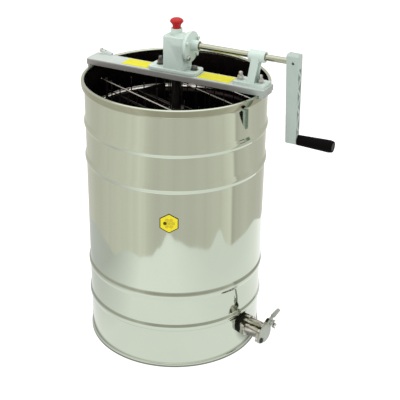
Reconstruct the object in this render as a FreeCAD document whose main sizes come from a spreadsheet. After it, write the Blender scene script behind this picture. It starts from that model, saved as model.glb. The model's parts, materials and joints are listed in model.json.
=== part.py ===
"""Hand-crank tangential honey extractor: a stainless tank with a cross bar that carries a bevel-gear drive,
a wire basket for two combs, and a honey gate.

Millimetres, +Z up, +X along the cross bar towards the crank.
The origin is the centre of the ring that the tank stands on.
"""
import FreeCAD, Part
import math
import os

import Sketcher

Vector = FreeCAD.Vector
Rotation = FreeCAD.Rotation

doc = FreeCAD.newDocument("honey_extractor")
sheet = doc.addObject("Spreadsheet::Sheet", "Sizes")

# ---------------------------------------------------------------------------------------------------------------
# Driving sizes. Heights that end in _level are measured from the floor, and a _drop from the top of what it names.
# ---------------------------------------------------------------------------------------------------------------
SIZES = {
    # tank: rolled sheet with four swaged beads, a rolled rim and a folded hem at the floor
    "tank_inner_radius": 184.0,
    "tank_height": 579.0,
    "tank_wall": 1.2,
    "rim_roll_radius": 3.7,
    "rim_roll_height": 15.0,
    "bead_rise": 3.0,
    "bead_half_height": 11.0,
    "bead_one_level": 97.0,
    "bead_two_level": 173.0,
    "bead_three_drop": 164.0,
    "bead_four_drop": 89.0,
    "hem_height": 7.0,
    "hem_thickness": 2.0,
    "floor_level": 36.0,
    "floor_clearance": 0.05,
    # foot bearing that the basket's shaft stands in, and the thrust pad in its socket
    "foot_base_width": 60.0,
    "foot_base_thickness": 5.0,
    "foot_socket_radius": 15.0,
    "foot_socket_level": 60.0,
    "foot_socket_depth": 22.0,
    "thrust_pad_thickness": 6.0,
    "spigot_radius": 6.0,
    # cross bar
    "bar_lug_thickness": 9.3,
    "bar_left_thickness": 6.2,
    "bar_width": 46.0,
    "bar_depth": 13.0,
    "bar_wall": 4.0,
    "bar_round": 4.0,
    "bar_end_solid": 26.0,
    "bar_middle_half": 24.0,
    "bar_lug_depth": 6.0,
    "rim_clearance": 0.3,
    "lug_inset": 2.5,
    "rim_screw_offset": 13.0,
    "rim_screw_radius": 1.8,
    "rim_screw_clearance": 0.3,
    # lug for a lid's hinge, at the back of the bar's left end
    "hinge_lug_gap": 8.0,
    "hinge_lug_length": 23.0,
    "hinge_lug_width": 9.0,
    "hinge_lug_height": 12.0,
    "hinge_bolt_radius": 2.5,
    "hinge_bolt_rise": 7.5,
    "hinge_nut_flats": 9.0,
    "hinge_nut_height": 5.0,
    # bevel drive
    "shaft_height": 58.0,
    "gear_module": 1.5,
    "pinion_teeth": 12.0,
    "gear_teeth": 24.0,
    "tooth_face": 6.5,
    "pinion_hub_radius": 8.0,
    "pinion_hub_length": 13.0,
    "gear_hub_radius": 10.0,
    "gear_end_clearance": 0.5,
    # gear housing
    "housing_flange_left": 55.0,
    "housing_flange_right": 52.0,
    "housing_flange_width": 40.0,
    "housing_flange_thickness": 6.0,
    "housing_flange_corner": 9.0,
    "block_left": 18.0,
    "block_right": 26.0,
    "block_half_depth": 25.0,
    "block_height": 76.0,
    "block_wall": 4.0,
    "block_corner": 3.0,
    "block_crown": 5.0,
    "drum_start": 6.5,
    "drum_wall": 4.6,
    "drum_reach": 3.0,
    "gear_clearance": 0.9,
    "top_boss_radius": 11.5,
    "top_boss_height": 11.0,
    "cover_radius": 31.0,
    "cover_thickness": 5.5,
    "cover_drop": 4.0,
    "cover_boss_radius": 10.5,
    "cover_boss_length": 16.5,
    "cover_screw_circle": 26.5,
    "cover_screw_flats": 7.0,
    "cover_screw_height": 4.0,
    "housing_stud_left": 36.5,
    "housing_stud_right": 40.0,
    "acorn_flats": 11.0,
    "acorn_height": 16.0,
    "flat_nut_height": 6.5,
    # bushes and shafts
    "bush_wall": 3.0,
    "neck_bush_rise": 8.0,
    "end_play": 0.3,
    "running_clearance": 0.04,
    "neck_radius": 7.0,
    "basket_shaft_radius": 10.0,
    "stub_radius": 4.0,
    "crank_shaft_radius": 6.0,
    "crank_bush_wall": 2.0,
    # bearing pedestal
    "pedestal_inset": 3.0,
    "pedestal_length": 66.0,
    "pedestal_base_width": 36.0,
    "pedestal_base_thickness": 6.0,
    "pedestal_boss_radius": 11.0,
    "pedestal_boss_inset": 9.0,
    "pedestal_boss_length": 33.0,
    "column_inset": 19.0,
    "column_width": 15.4,
    "column_lean": 8.0,
    "column_depth": 22.0,
    "column_rib": 3.5,
    "column_web": 6.0,
    "pedestal_stud_inset": 18.0,
    "pedestal_stud_gap": 42.0,
    # brake knob
    "brake_travel": 2.8,
    "brake_gap": 3.0,
    "brake_lift_gap": 0.05,
    "brake_foot_radius": 5.0,
    "brake_foot_thickness": 3.0,
    "knob_stem_radius": 8.3,
    "knob_stem_clearance": 0.5,
    "knob_stem_engaged": 2.0,
    "knob_cap_radius": 13.6,
    "knob_cap_rise": 22.0,
    "knob_cap_height": 9.5,
    "spring_radius": 4.9,
    "spring_wire_radius": 0.6,
    "spring_turn_count": 3.5,
    "spring_end_gap": 0.05,
    # crank
    "arm_gap_top": 36.5,
    "arm_gap_bottom": 43.5,
    "arm_thickness_top": 24.0,
    "arm_thickness_bottom": 22.0,
    "arm_width_top": 22.0,
    "arm_width_bottom": 17.0,
    "arm_above_shaft": 16.0,
    "arm_below_grip": 8.5,
    "crank_radius": 154.5,
    "arm_skin": 3.0,
    "arm_pocket_depth": 14.0,
    "arm_rib": 3.0,
    "arm_pocket_count": 7.0,
    "arm_chamfer": 3.0,
    "arm_shaft_cover": 5.0,
    "set_screw_radius": 3.0,
    "set_screw_inset": 10.0,
    "grip_length": 72.5,
    "grip_inner_end_radius": 10.3,
    "grip_outer_end_radius": 12.4,
    "grip_gap": 0.3,
    "grip_boss_rise": 0.5,
    "grip_boss_radius": 8.5,
    "grip_recess_depth": 4.0,
    "grip_recess_radius": 9.0,
    "spindle_radius": 5.0,
    "spindle_seat": 16.0,
    "spindle_head_radius": 7.5,
    "spindle_head_thickness": 3.0,
    # basket, in its own frame: its long walls run along X before it is turned to its rest angle
    "basket_rest_angle": -22.8,
    "basket_side_gap": 42.0,
    "basket_half_width": 82.0,
    "basket_top_drop": 28.0,
    "basket_bottom_level": 96.0,
    "basket_rod_radius": 3.0,
    "screen_wire_radius": 1.25,
    "screen_upright_count": 9.0,
    "screen_row_count": 9.0,
    "inner_screen_offset": 34.0,
    "inner_upright_count": 6.0,
    "inner_row_count": 4.0,
    "strap_height": 22.0,
    "strap_thickness": 3.0,
    "top_strap_drop": 61.0,
    "bottom_strap_rise": 16.0,
    "hub_radius": 16.0,
    "rest_plate_thickness": 2.0,
    "spigot_rise": 2.0,
    # honey gate, in its own frame: its bore runs along X before it is turned to its place
    "gate_angle": -10.0,
    "gate_level": 63.0,
    "gate_bore_radius": 15.0,
    "gate_pipe_radius": 18.5,
    "gate_hole_clearance": 0.4,
    "gate_nut_radius": 25.0,
    "gate_nut_thickness": 8.0,
    "gate_gasket_radius": 24.0,
    "gate_gasket_thickness": 6.0,
    "gate_collar_radius": 21.0,
    "gate_collar_thickness": 10.0,
    "gate_pipe_end": 2.0,
    "gate_length": 53.5,
    "gate_flange_radius": 21.0,
    "gate_plate_drop": 2.5,
    "gate_flange_thickness": 6.0,
    "gate_ear_radius": 7.5,
    "gate_pivot_across": 17.0,
    "gate_pivot_below": 11.0,
    "gate_stud_across": 20.0,
    "gate_stud_above": 14.0,
    "gate_pin_radius": 3.0,
    "gate_stud_radius": 2.5,
    "gate_seal_gap": 0.3,
    "gate_head_height": 2.5,
    "flap_thickness": 4.0,
    "flap_radius": 20.5,
    "flap_slot_clearance": 0.8,
    "flap_slot_angle": 40.0,
    "lever_length": 37.0,
    "lever_width": 9.0,
    "lever_thickness": 3.5,
    "lever_offset": 3.0,
    "lever_bend": 13.0,
    "lever_splay": 12.0,
    "wing_span": 10.0,
    "wing_nut_radius": 5.5,
    "wing_nut_height": 6.0,
    "wing_thickness": 2.6,
}

for row, (alias, value) in enumerate(SIZES.items(), start=1):
    sheet.set(f"A{row}", alias)
    sheet.set(f"B{row}", str(value))
    sheet.setAlias(f"B{row}", alias)
doc.recompute()


class Size:
    """A number together with the spreadsheet expression that it comes from."""

    def __init__(self, number, text):
        self.number = number
        self.text = text

    def __add__(self, other):
        other = as_size(other)
        return Size(self.number + other.number, f"({self.text} + {other.text})")

    def __sub__(self, other):
        other = as_size(other)
        return Size(self.number - other.number, f"({self.text} - {other.text})")

    def __mul__(self, other):
        other = as_size(other)
        return Size(self.number * other.number, f"({self.text} * {other.text})")

    def __truediv__(self, other):
        other = as_size(other)
        return Size(self.number / other.number, f"({self.text} / {other.text})")

    def __neg__(self):
        return Size(-self.number, f"(0 - {self.text})")

    def __radd__(self, other):
        return as_size(other) + self

    def __rsub__(self, other):
        return as_size(other) - self

    def __rmul__(self, other):
        return as_size(other) * self


def as_size(value):
    """Wrap a plain number, so that it can stand beside a named size."""
    return value if isinstance(value, Size) else Size(float(value), f"({float(value)!r})")


def root(size):
    """Square root of a size."""
    return Size(math.sqrt(size.number), f"sqrt({size.text})")


class Named:
    """Attribute access to the sheet: of.tank_height is the size with that alias."""

    def __getattr__(self, alias):
        return Size(float(getattr(sheet, alias)), f"Sizes.{alias}")


of = Named()
nodes = {}


def bind(thing, prop, size):
    """Drive a property by a size's expression."""
    thing.setExpression(prop, as_size(size).text)


TURNS = {
    "Z": Rotation(),
    "X": Rotation(Vector(0, 1, 0), 90),
    "Y": Rotation(Vector(1, 0, 0), -90),
}


def put(thing, at, axis="Z"):
    """Place a primitive with its own Z axis along the named axis."""
    thing.Placement = FreeCAD.Placement(Vector(0, 0, 0), TURNS[axis])
    for letter, size in zip("xyz", at):
        bind(thing, f"Placement.Base.{letter}", size)
    return thing


def cylinder(radius, height, at=(0, 0, 0), axis="Z"):
    """Cylinder that grows from at along the named axis."""
    thing = doc.addObject("Part::Cylinder", "cylinder")
    bind(thing, "Radius", radius)
    bind(thing, "Height", height)
    return put(thing, at, axis)


def hexagon(flats, height, at=(0, 0, 0), axis="Z"):
    """Hexagonal prism, given across its flats."""
    thing = doc.addObject("Part::Prism", "hexagon")
    thing.Polygon = 6
    bind(thing, "Circumradius", as_size(flats) / math.sqrt(3.0))
    bind(thing, "Height", height)
    return put(thing, at, axis)


def box(low, high):
    """Box between two corners."""
    thing = doc.addObject("Part::Box", "box")
    for prop, a, b in zip(("Length", "Width", "Height"), low, high):
        bind(thing, prop, as_size(b) - as_size(a))
    return put(thing, low)


def fuse(*things):
    """Boolean union of several shapes."""
    thing = doc.addObject("Part::MultiFuse", "fusion")
    thing.Shapes = list(things)
    thing.Refine = True
    return thing


def cut(base, *tools):
    """Base less every tool."""
    thing = doc.addObject("Part::Cut", "cut")
    thing.Base = base
    thing.Tool = tools[0] if len(tools) == 1 else fuse(*tools)
    return thing


def common(one, two):
    """What two shapes share."""
    thing = doc.addObject("Part::Common", "common")
    thing.Base = one
    thing.Tool = two
    return thing


def group(things, angle=None):
    """Several separate shapes as one, turned about the tank's axis where an angle is given."""
    thing = doc.addObject("Part::Compound", "group")
    thing.Links = list(things)
    if angle is not None:
        thing.Placement = FreeCAD.Placement(Vector(0, 0, 0), Rotation(Vector(0, 0, 1), angle.number))
        bind(thing, "Placement.Rotation.Angle", angle)
    return thing


def outline(body, plane, corners):
    """Closed sketch of straight edges through the corners, each corner driven by its two sizes."""
    sketch = body.newObject("Sketcher::SketchObject", "outline")
    origin = [f for f in body.Origin.OriginFeatures if f.Role == plane]
    sketch.AttachmentSupport = [(origin[0], "")]
    sketch.MapMode = "FlatFace"
    pairs = [(as_size(a), as_size(b)) for a, b in corners]
    points = [Vector(a.number, b.number, 0) for a, b in pairs]
    for start, end in zip(points, points[1:] + points[:1]):
        sketch.addGeometry(Part.LineSegment(start, end), False)
    for index in range(len(points)):
        following = (index + 1) % len(points)
        sketch.addConstraint(Sketcher.Constraint("Coincident", index, 2, following, 1))
    for index, (across, up) in enumerate(pairs):
        for kind, size in (("DistanceX", across), ("DistanceY", up)):
            row = sketch.addConstraint(Sketcher.Constraint(kind, -1, 1, index, 1, size.number))
            sketch.setExpression(f"Constraints[{row}]", size.text)
    return sketch


def revolved(corners):
    """Body turned about the Z axis from an outline given as (radius, height)."""
    body = doc.addObject("PartDesign::Body", "turned")
    sketch = outline(body, "XZ_Plane", corners)
    turn = body.newObject("PartDesign::Revolution", "revolution")
    turn.Profile = sketch
    turn.ReferenceAxis = (sketch, ["V_Axis"])
    turn.Angle = 360.0
    return body


def prism(plane, corners, thickness, at=(0, 0, 0)):
    """Body padded evenly to both sides of a plane, then moved to at."""
    body = doc.addObject("PartDesign::Body", "plate")
    sketch = outline(body, plane, corners)
    pad = body.newObject("PartDesign::Pad", "pad")
    pad.Profile = sketch
    pad.Midplane = True
    bind(pad, "Length", thickness)
    return put(body, at)


def rounded(base, radius, direction, level=None):
    """Base with its edges along one direction rounded, or only those of them that lie at a level."""
    doc.recompute()
    edges = []
    for index, edge in enumerate(base.Shape.Edges, start=1):
        along = (edge.lastVertex().Point - edge.firstVertex().Point).normalize()
        placed = level is None or abs(edge.CenterOfMass.z - level.number) < 0.001
        if abs(along.dot(direction)) > 0.999 and placed:
            edges.append((index, radius.number, radius.number))
    thing = doc.addObject("Part::Fillet", "rounded")
    thing.Base = base
    thing.Edges = edges
    return thing


def frustum(rings):
    """Solid with flat faces through similar polygons, each a list of as many points."""
    faces = [Part.Face(Part.makePolygon(ring + ring[:1])) for ring in (rings[0], rings[-1])]
    for lower, upper in zip(rings, rings[1:]):
        for index in range(len(lower)):
            following = (index + 1) % len(lower)
            corners = [lower[index], lower[following], upper[following], upper[index]]
            faces.append(Part.Face(Part.makePolygon(corners + corners[:1])))
    solid = Part.makeSolid(Part.makeShell(faces))
    if solid.Volume < 0:
        solid.reverse()
    return solid


def polygon(radius, height, sides, first_angle=0.0):
    """Corners of a regular polygon round the Z axis at a height."""
    found = []
    for index in range(sides):
        angle = math.radians(first_angle + index * 360.0 / sides)
        found.append(Vector(radius * math.cos(angle), radius * math.sin(angle), height))
    return found


def many_sided(profile, at=(0, 0, 0), axis="Z", sides=24):
    """Small turned piece with flat facets, which keeps it light, from (radius, height) up its side."""
    rings = [polygon(as_size(r).number, as_size(h).number, sides) for r, h in profile]
    return put(made(frustum(rings), "facets"), at, axis)


def faceted(radius, length, at, axis="Z", sides=24):
    """Round piece or hole that nothing turns in, as a prism of many sides, which keeps it light."""
    thing = doc.addObject("Part::Prism", "prism")
    thing.Polygon = sides
    bind(thing, "Circumradius", radius)
    bind(thing, "Height", length)
    return put(thing, at, axis)


def made(shape, name):
    """Feature whose shape is worked out by Part's own functions."""
    thing = doc.addObject("Part::Feature", name)
    thing.Shape = shape
    return thing


def node(name, thing):
    """Name a finished sub-part."""
    thing.Label = name
    nodes[name] = thing
    return thing


# ---------------------------------------------------------------------------------------------------------------
# Tank: the wall has four swaged beads, a rolled rim and a folded hem
# ---------------------------------------------------------------------------------------------------------------
tank_outer = of.tank_inner_radius + of.tank_wall
roll_centre = of.tank_inner_radius + of.rim_roll_radius
rim_outer = roll_centre + of.rim_roll_radius
roll_level = of.tank_height - of.rim_roll_radius
roll_bottom = of.tank_height - of.rim_roll_height
floor_top = of.floor_level + of.tank_wall
beads = (
    of.bead_one_level,
    of.bead_two_level,
    of.tank_height - of.bead_three_drop,
    of.tank_height - of.bead_four_drop,
)


def in_gate_frame(things):
    """Pieces of the gate, turned from the X axis to the gate's place on the wall."""
    return group(things, of.gate_angle)


def tank_shell():
    """Side wall with its beads, rolled rim and hem, and the hole for the gate."""
    hem_outer = tank_outer + of.hem_thickness
    roll_flat = of.rim_roll_radius * math.tan(math.pi / 8)
    corners = [
        (of.tank_inner_radius, 0),
        (hem_outer, 0),
        (hem_outer, of.hem_height),
        (tank_outer, of.hem_height + of.hem_thickness),
    ]
    for level in beads:
        corners += [
            (tank_outer, level - of.bead_half_height),
            (tank_outer + of.bead_rise, level),
            (tank_outer, level + of.bead_half_height),
        ]
    corners += [
        (tank_outer, roll_bottom),
        (roll_centre + roll_flat, roll_bottom),
        (rim_outer, roll_bottom + of.rim_roll_radius - roll_flat),
        (rim_outer, roll_level + roll_flat),
        (roll_centre + roll_flat, of.tank_height),
        (roll_centre - roll_flat, of.tank_height),
        (of.tank_inner_radius, roll_level + roll_flat),
    ]
    hole = cylinder(
        of.gate_pipe_radius + of.gate_hole_clearance,
        2 * of.gate_collar_radius,
        (of.tank_inner_radius - of.gate_collar_radius, 0, of.gate_level),
        "X",
    )
    return cut(revolved(corners), in_gate_frame([hole]))


node("tank_shell", tank_shell())
node(
    "tank_floor",
    cylinder(of.tank_inner_radius - of.floor_clearance, of.tank_wall, (0, 0, of.floor_level)),
)

# ---------------------------------------------------------------------------------------------------------------
# Cross bar: a channel with its open side down, solid at its middle and ends, with lugs outside the rim
# ---------------------------------------------------------------------------------------------------------------
bar_top = of.tank_height + of.bar_depth
bar_half_width = of.bar_width / 2
lug_inner = rim_outer + of.rim_clearance
bar_half_length = lug_inner + of.bar_lug_thickness
bar_left_end = -(lug_inner + of.bar_left_thickness)
lug_bottom = of.tank_height - of.bar_lug_depth
neck_bore = of.neck_radius + of.running_clearance
neck_bush_outer = neck_bore + of.bush_wall
rim_screw_hole = of.rim_screw_radius + of.rim_screw_clearance
rim_screw_level = lug_bottom + of.bar_lug_depth / 2
hinge_lug_left = bar_left_end + of.hinge_lug_gap + of.hinge_nut_height
hinge_lug_right = hinge_lug_left + of.hinge_lug_length
hinge_bolt_across = bar_half_width - of.hinge_lug_width / 2
hinge_bolt_level = bar_top + of.hinge_bolt_rise


def in_order(one, two):
    """Two sizes, the lower first."""
    return (one, two) if one.number < two.number else (two, one)


def cross_bar():
    """The casting, with a saddle over the rim at each end, a hollow underside and a lug for a lid's hinge."""
    slab = box(
        (bar_left_end, -bar_half_width, of.tank_height),
        (bar_half_length, bar_half_width, bar_top),
    )
    lugs = box(
        (bar_left_end + of.lug_inset, -bar_half_width, lug_bottom),
        (bar_half_length - of.lug_inset, bar_half_width, of.tank_height),
    )
    hinge_lug = box(
        (hinge_lug_left, bar_half_width - of.hinge_lug_width, bar_top - of.bar_round),
        (hinge_lug_right, bar_half_width, bar_top + of.hinge_lug_height),
    )
    at = (hinge_lug_left, hinge_bolt_across, hinge_bolt_level)
    tools = [
        cylinder(lug_inner, of.bar_lug_depth, (0, 0, lug_bottom)),
        faceted(neck_bush_outer, of.bar_depth, (0, 0, of.tank_height)),
        faceted(of.hinge_bolt_radius, of.hinge_lug_length, at, "X", 12),
    ]
    pocket_end = bar_half_length - of.bar_end_solid
    for side in (-1, 1):
        low, high = in_order(side * of.bar_middle_half, side * pocket_end)
        tools.append(
            box(
                (low, of.bar_wall - bar_half_width, of.tank_height),
                (high, bar_half_width - of.bar_wall, bar_top - of.bar_wall),
            )
        )
        for across in (-of.rim_screw_offset, of.rim_screw_offset):
            low, high = in_order(side * tank_outer, side * bar_half_length)
            tools.append(faceted(rim_screw_hole, high - low, (low, across, rim_screw_level), "X", 12))
    casting = fuse(rounded(slab, of.bar_round, Vector(1, 0, 0), bar_top), lugs, hinge_lug)
    return cut(casting, *tools)


node("cross_bar", cross_bar())


def rim_screws():
    """Grub screws, two in each lug, with their points against the rolled rim."""
    screws = []
    for low, high in (
        (bar_left_end + of.lug_inset, -lug_inner),
        (lug_inner, bar_half_length - of.lug_inset),
    ):
        for across in (-of.rim_screw_offset, of.rim_screw_offset):
            at = (low, across, rim_screw_level)
            screws.append(faceted(of.rim_screw_radius, high - low, at, "X", 12))
    return group(screws)


def hinge_bolt():
    """Bolt through the hinge lug, with its head on the right and its nut on the left."""
    start = hinge_lug_left - of.hinge_nut_height
    shank_end = hinge_lug_right
    at = (start, hinge_bolt_across, hinge_bolt_level)
    head_at = (shank_end, hinge_bolt_across, hinge_bolt_level)
    return fuse(
        faceted(of.hinge_bolt_radius, shank_end - start, at, "X", 12),
        hexagon(of.hinge_nut_flats, of.hinge_nut_height, at, "X"),
        hexagon(of.hinge_nut_flats, 0.7 * of.hinge_nut_height, head_at, "X"),
    )


node("rim_screws", rim_screws())
node("hinge_bolt", hinge_bolt())

# ---------------------------------------------------------------------------------------------------------------
# Bevel gears: straight teeth whose edges all run to the apex, where the two shafts' axes cross
# ---------------------------------------------------------------------------------------------------------------
shaft_level = bar_top + of.shaft_height
gear_pitch = of.gear_module * of.gear_teeth / 2
pinion_pitch = of.gear_module * of.pinion_teeth / 2
cone_distance = root(gear_pitch * gear_pitch + pinion_pitch * pinion_pitch)
small_end = 1 - of.tooth_face / cone_distance
# heights above the pitch cone and half thicknesses of a tooth, all in modules
ADDENDUM = 0.85
DEDENDUM = 1.25
TOOTH_SIDE = ((-DEDENDUM - 0.15, 1.05), (ADDENDUM, 0.28))


def root_place(own, mate, scale):
    """(radius, distance from the apex along the axis) of the tooth roots at one end of the teeth."""
    down = DEDENDUM * of.gear_module / cone_distance
    return scale * (own - down * mate), scale * (mate + down * own)


def tooth_section(own, mate, scale):
    """Four corners of a tooth at one end, in a plane square to the pitch cone."""
    module, slant = of.gear_module.number, cone_distance.number
    outwards = Vector(mate.number / slant, 0, -own.number / slant)
    on_pitch = Vector(own.number, 0, mate.number)
    flanks = list(TOOTH_SIDE) + [(height, -half) for height, half in reversed(TOOTH_SIDE)]
    corners = []
    for height, half in flanks:
        corner = on_pitch + outwards * (height * module) + Vector(0, half * module, 0)
        corners.append(corner * scale)
    return corners


def bevel_gear(own, mate, count, tooth_first, hub):
    """Gear about the Z axis with the apex at the origin: a many-sided root cone, its teeth and its hub."""
    count = int(round(count.number))
    pitch_angle = 360.0 / count
    first_angle = 0.0 if tooth_first else pitch_angle / 2
    roots = []
    for scale in (small_end, as_size(1)):
        radius, distance = root_place(own, mate, scale)
        corner_radius = radius.number / math.cos(math.pi / count)
        roots.append(polygon(corner_radius, distance.number, count, first_angle))
    tooth = frustum([tooth_section(own, mate, scale) for scale in (1.0, small_end.number)])
    teeth = []
    for index in range(count):
        turned = tooth.copy()
        turned.rotate(Vector(0, 0, 0), Vector(0, 0, 1), first_angle + index * pitch_angle)
        teeth.append(turned)
    doc.recompute()
    return frustum(roots).multiFuse(teeth + [hub.Shape]).removeSplitter()


def on_shaft(shape, bore, rotation):
    """A gear, bored for its shaft and moved from the apex frame to its place."""
    doc.recompute()
    bored = shape.cut(bore.Shape)
    bored.Placement = FreeCAD.Placement(Vector(0, 0, shaft_level.number), rotation)
    return made(bored, "gear")


pinion_back = root_place(pinion_pitch, gear_pitch, 1)[1]
pinion_front = root_place(pinion_pitch, gear_pitch, small_end)[1]
pinion_hub_end = pinion_back + of.pinion_hub_length
neck_top = shaft_level - pinion_hub_end
gear_back = root_place(gear_pitch, pinion_pitch, 1)[1]
gear_front = root_place(gear_pitch, pinion_pitch, small_end)[1]
drum_right = of.block_right + of.drum_reach
gear_hub_end = drum_right - of.gear_end_clearance

# the pinion hangs below the apex with one tooth towards the big gear
pinion_hub = faceted(of.pinion_hub_radius, of.pinion_hub_length, (0, 0, pinion_back))
pinion_bore = cylinder(of.stub_radius, pinion_hub_end - pinion_front, (0, 0, pinion_front))
node(
    "drive_pinion",
    on_shaft(
        bevel_gear(pinion_pitch, gear_pitch, of.pinion_teeth, True, pinion_hub),
        pinion_bore,
        Rotation(Vector(1, 0, 0), 180),
    ),
)

# the big gear lies along +X from the apex with a gap between two teeth straight below its shaft
gear_hub = faceted(of.gear_hub_radius, gear_hub_end - gear_back, (0, 0, gear_back))
gear_bore = cylinder(of.crank_shaft_radius, gear_hub_end - gear_front, (0, 0, gear_front))
node(
    "drive_gear",
    on_shaft(
        bevel_gear(gear_pitch, pinion_pitch, of.gear_teeth, False, gear_hub),
        gear_bore,
        Rotation(Vector(0, 1, 0), 90),
    ),
)

# ---------------------------------------------------------------------------------------------------------------
# Gear housing: a cast block on a flange, with a round drum for the big gear and a boss for the brake knob
# ---------------------------------------------------------------------------------------------------------------
drum_cavity = gear_pitch + of.gear_module + of.gear_clearance
drum_outer = drum_cavity + of.drum_wall
tip_radius = gear_pitch + ADDENDUM * of.gear_module * pinion_pitch / cone_distance
tip_distance = pinion_pitch - ADDENDUM * of.gear_module * gear_pitch / cone_distance
tip_slope = tip_radius / tip_distance
flange_top = bar_top + of.housing_flange_thickness
block_top_level = bar_top + of.block_height
block_roof = block_top_level - of.block_wall
boss_top = block_top_level + of.top_boss_height
neck_bush_top = flange_top + of.neck_bush_rise
drum_left = of.drum_start - of.drum_wall / 2
cover_centre = shaft_level - of.cover_drop
cover_face = drum_right + of.cover_thickness
cover_boss_end = cover_face + of.cover_boss_length
crank_bush_bore = of.crank_shaft_radius + of.running_clearance
crank_bush_outer = crank_bush_bore + of.crank_bush_wall


def gear_cavity():
    """Room for the big gear: a cone that follows its tooth tips, so that the roof stays whole under the knob's spring."""
    start = small_end * tip_distance - of.gear_clearance
    first = tip_slope * start + 2 * of.gear_clearance
    full = (drum_cavity - first) / tip_slope
    side = [(first, 0), (drum_cavity, full), (drum_cavity, drum_right - start)]
    return many_sided(side, (start, 0, shaft_level), "X", 36)


def block_ring(inset, level):
    """Eight corners of the block's outline, drawn in by the inset, at a level."""
    left, right = (inset - of.block_left).number, (of.block_right - inset).number
    deep, corner = (of.block_half_depth - inset).number, of.block_corner.number
    places = [
        (left + corner, -deep),
        (right - corner, -deep),
        (right, corner - deep),
        (right, deep - corner),
        (right - corner, deep),
        (left + corner, deep),
        (left, deep - corner),
        (left, corner - deep),
    ]
    return [Vector(x, y, level.number) for x, y in places]


def housing_block():
    """Block with cut corners, whose top edges fall away in two slopes."""
    rings = [
        block_ring(as_size(0), bar_top),
        block_ring(as_size(0), block_top_level - of.block_crown),
        block_ring(0.3 * of.block_crown, block_top_level - 0.3 * of.block_crown),
        block_ring(of.block_crown, block_top_level),
    ]
    return made(frustum(rings), "block")


def gear_housing():
    """Flange, block, drum and boss in one casting, hollow inside and open towards the crank."""
    half_flange = of.housing_flange_width / 2
    flange = prism(
        "XY_Plane",
        [
            (-of.housing_flange_left, -half_flange + of.housing_flange_corner),
            (-of.housing_flange_left + of.housing_flange_corner, -half_flange),
            (of.housing_flange_right - of.housing_flange_corner, -half_flange),
            (of.housing_flange_right, -half_flange + of.housing_flange_corner),
            (of.housing_flange_right, half_flange - of.housing_flange_corner),
            (of.housing_flange_right - of.housing_flange_corner, half_flange),
            (-of.housing_flange_left + of.housing_flange_corner, half_flange),
            (-of.housing_flange_left, half_flange - of.housing_flange_corner),
        ],
        of.housing_flange_thickness,
        (0, 0, bar_top + of.housing_flange_thickness / 2),
    )
    drum = faceted(drum_outer, drum_right - drum_left, (drum_left, 0, shaft_level), "X", 48)
    boss = faceted(of.top_boss_radius, of.top_boss_height, (0, 0, block_top_level))
    inner_half = of.block_half_depth - 2 * of.block_wall
    tools = [
        box(
            (of.block_wall - of.block_left, -inner_half, neck_bush_top),
            (of.block_right - of.block_wall, inner_half, block_roof),
        ),
        gear_cavity(),
        faceted(neck_bush_outer, neck_bush_top - bar_top, (0, 0, bar_top)),
        cylinder(of.stub_radius + of.running_clearance, of.block_wall, (0, 0, block_roof)),
        faceted(of.knob_stem_radius + of.knob_stem_clearance, of.top_boss_height, (0, 0, block_top_level)),
    ]
    return cut(fuse(flange, housing_block(), drum, boss), *tools)


def gear_cover():
    """Round cover on the open side of the housing, with a long boss for the crank shaft's bush."""
    return cut(
        fuse(
            faceted(of.cover_radius, of.cover_thickness, (drum_right, 0, cover_centre), "X", 48),
            faceted(of.cover_boss_radius, of.cover_boss_length, (cover_face, 0, shaft_level), "X"),
        ),
        faceted(crank_bush_outer, cover_boss_end - drum_right, (drum_right, 0, shaft_level), "X"),
    )


def cover_screws():
    """Four hexagon heads round the cover, two low and two above its middle."""
    heads = []
    for angle in (-45, 28):
        across = of.cover_screw_circle * math.cos(math.radians(angle))
        level = cover_centre + of.cover_screw_circle * math.sin(math.radians(angle))
        for side in (-1, 1):
            at = (cover_face, side * across, level)
            heads.append(hexagon(of.cover_screw_flats, of.cover_screw_height, at, "X"))
    return group(heads)


node("gear_housing", gear_housing())
node("gear_cover", gear_cover())
node("cover_screws", cover_screws())

# ---------------------------------------------------------------------------------------------------------------
# Bearing pedestal near the bar's end: base, ribbed column and round boss in one casting
# ---------------------------------------------------------------------------------------------------------------
pedestal_seat = bar_top + of.pedestal_base_thickness
pedestal_right = bar_half_length - of.pedestal_inset
pedestal_left = pedestal_right - of.pedestal_length
pedestal_boss_left = bar_half_length - of.pedestal_boss_inset - of.pedestal_boss_length
pedestal_stud_right = bar_half_length - of.pedestal_stud_inset
pedestal_stud_left = pedestal_stud_right - of.pedestal_stud_gap
column_right = bar_half_length - of.column_inset
column_left = column_right - of.column_width


def leaning(left, right, low, high):
    """Corners of an upright strip of the column between two levels, leaning as the column does."""
    slope = of.column_lean / (shaft_level - pedestal_seat)
    low_shift = slope * (shaft_level - low)
    high_shift = slope * (shaft_level - high)
    return [
        (left - low_shift, low),
        (right - low_shift, low),
        (right - high_shift, high),
        (left - high_shift, high),
    ]


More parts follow.
